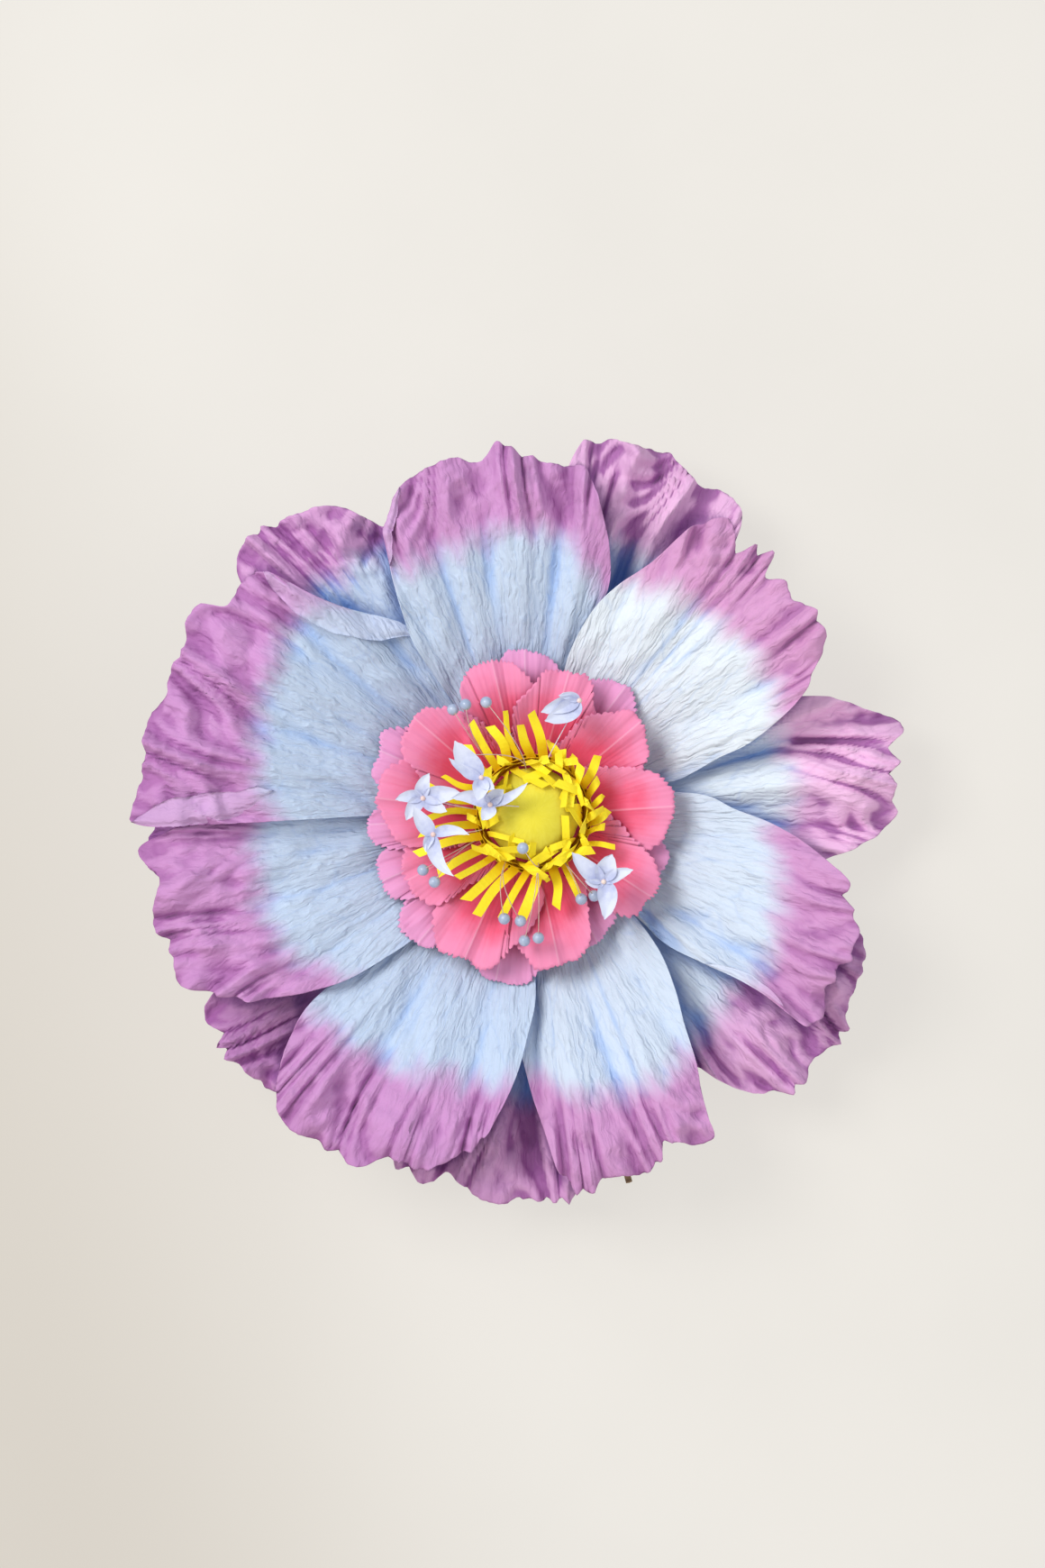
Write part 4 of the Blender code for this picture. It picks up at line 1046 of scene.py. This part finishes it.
# A plane that glows with painted light of its own, so it takes only faint shadows, and painted shade darkens it
# towards its left. The wall can be seen through from behind.
def backdrop(name, place, turn, seeThroughBack):
    mesh = bpy.data.meshes.new(name)
    half = look["planeSize"] / 2.0
    mesh.from_pydata([(-half, -half, 0), (half, -half, 0), (half, half, 0), (-half, half, 0)], [], [(0, 1, 2, 3)])
    made = bpy.data.objects.new(name, mesh)
    bpy.context.scene.collection.objects.link(made)
    made.location, made.rotation_euler = place, turn
    material, tree, shader = newMaterial(name + "Paint", 0.9, 0.1)
    spot = addNode(tree, "TexCoord").outputs["Object"]
    mottle = stretch(tree, noise(tree, spot, 3.0, 8.0).outputs[0], 0.3, 0.7)
    apart = addNode(tree, "SeparateXYZ", None, Vector=spot)
    # painted shade, stronger towards the plane's left and its lower edge
    shadeSlope = calc(tree, "MULTIPLY_ADD", apart.outputs[0], 2.9, apart.outputs[1])
    plasterAndShade = mixColour(tree, mottle, look["wall"], tuple(0.97 * part for part in look["wall"]))
    plasterAndShade = mixColour(tree, stretch(tree, shadeSlope, -0.3, -1.7), plasterAndShade, look["wallShade"])
    dim = addNode(tree, "HueSaturation", None, Value=look["wallBounce"], Color=plasterAndShade)
    tree.links.new(dim.outputs[0], shader.inputs["Base Color"])
    # painted light: the plane glows with its own colour
    tree.links.new(plasterAndShade, shader.inputs["Emission Color"])
    shader.inputs["Emission Strength"].default_value = look["wallGlow"]
    if seeThroughBack:
        clear = addNode(tree, "BsdfTransparent").outputs[0]
        back = addNode(tree, "NewGeometry").outputs["Backfacing"]
        pick = addNode(tree, "MixShader", None, _0=back, _1=shader.outputs[0], _2=clear)
        tree.links.new(pick.outputs[0], tree.nodes["Material Output"].inputs["Surface"])
    mesh.materials.append(material)


def lamp(name, power):
    light = bpy.data.lights.new(name, "AREA")
    light.size, light.energy, light.color = look[name + "Size"], power, look[name + "Colour"]
    made = bpy.data.objects.new(name, light)
    bpy.context.scene.collection.objects.link(made)
    made.location = look[name + "Place"]
    aim = Vector(look["lampAim"]) - Vector(look[name + "Place"])
    made.rotation_euler = aim.to_track_quat("-Z", "Y").to_euler()


def studio():
    upright = (math.radians(90), 0, 0)
    backdrop("wall", (0.0, 0.0015, 0.0), upright, True)
    backdrop("floor", (0.0, 0.0, look["floorHeight"]), (0, 0, 0), False)
    world = bpy.data.worlds.new("studio")
    bpy.context.scene.world = world
    world.use_nodes = True
    world.node_tree.nodes["Background"].inputs[0].default_value = (*look["world"], 1.0)
    world.node_tree.nodes["Background"].inputs[1].default_value = look["worldStrength"]
    lamp("key", look["keyPower"])
    lamp("fill", look["keyPower"] * look["fillShare"])
    camera = bpy.data.objects.new("camera", bpy.data.cameras.new("camera"))
    bpy.context.scene.collection.objects.link(camera)
    camera.location = Vector(look["viewMiddle"]) - Vector((0.0, look["cameraAway"], 0.0))
    camera.rotation_euler = upright
    camera.data.lens = camera.data.sensor_width * look["cameraAway"] / look["viewTall"]
    bpy.context.scene.camera = camera
    bpy.context.scene.view_settings.view_transform = "Standard"


paints = {
    # the heart, the rim, and the pale of the ribs
    "mauve": ((0.78, 0.22, 0.42), (0.76, 0.32, 0.58), (0.88, 0.55, 0.72)),
    "pink": ((0.80, 0.09, 0.19), (0.82, 0.25, 0.44), (0.90, 0.46, 0.62)),
    # light, deep, and how fine the grain is; on the cut strips the deep colour is painted shade at their feet
    "ball": ((0.88, 0.79, 0.09), (0.80, 0.69, 0.04), 260.0),
    "cut": ((0.98, 0.80, 0.02), (0.93, 0.63, 0.005), 190.0),
    # two colours that cloud into each other, and the roughness
    "pearl": ((0.34, 0.42, 0.58), (0.46, 0.52, 0.66), 0.38),
    "tanWire": ((0.50, 0.34, 0.30), (0.60, 0.44, 0.38), 0.5),
    "starBead": ((0.80, 0.55, 0.52), (0.86, 0.70, 0.62), 0.45),
    "paleWire": ((0.70, 0.60, 0.72), (0.80, 0.74, 0.82), 0.5),
    # dark and light, then clean and yellowed
    "paleStar": ((0.42, 0.46, 0.70), (0.69, 0.73, 0.88)),
    "foamBoard": ((0.84, 0.83, 0.79), (0.70, 0.68, 0.62)),
    # light, dark, how fine, how the turns lean, and the roughness
    "kraftTape": ((0.30, 0.20, 0.11), (0.14, 0.09, 0.05), 60.0, (0.0, 0.35, 0.0), 0.75),
    "twine": ((0.62, 0.49, 0.31), (0.36, 0.26, 0.15), 160.0, (0.0, 0.7, 0.0), 0.85),
}

frontPaper = petalPaper("dyedShadedPaperFront", petalDyeAndShade["front"])
backPaper = petalPaper("dyedShadedPaperBack", petalDyeAndShade["back"])

print("back petals")
for node, spec in backPetals.items():
    largePetal(node, spec, "back", "back_petal_paper", backPaper)

print("front petals")
for node, spec in frontPetals.items():
    largePetal(node, spec, "front", "petal_paper", frontPaper)
makeSheets()

print("small petals")
mauve = ribbedPaper("mauveRibbed", *paints["mauve"])
pink = ribbedPaper("pinkRibbed", *paints["pink"])
smallPetals("mauve", "mauve_paper", mauve)
smallPetals("pink", "pink_paper", pink)
makeSheets()

print("yellow centre")
centreBall(yellowCrepe("yellowBall", *paints["ball"]))
yellow = yellowCrepe("yellowCut", *paints["cut"])
fringeBand("inner", hugging, yellow, 1)
fringeBand("middle", standing, yellow, 2)
fringeBand("outer", falling, yellow, 3)

print("stamens and star flowers")
pearlStamens(pearlPaint("pearl", *paints["pearl"]), pearlPaint("tanWire", *paints["tanWire"]))
starFlowers(palePaperPaint("paleStar", *paints["paleStar"]), pearlPaint("starBead", *paints["starBead"]),
            pearlPaint("paleWire", *paints["paleWire"]))

print("board, core, stem and loop")
foam = foamPaint("foamBoard", *paints["foamBoard"])
tape, twine = wrappedPaint("kraftTape", *paints["kraftTape"]), wrappedPaint("twine", *paints["twine"])
for node, material in (("backing_board", foam), ("foam_core", foam), ("wire_stem", tape), ("hanging_loop", twine)):
    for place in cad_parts[node].material_slots:
        place.link, place.material = "OBJECT", material

print("studio")
studio()
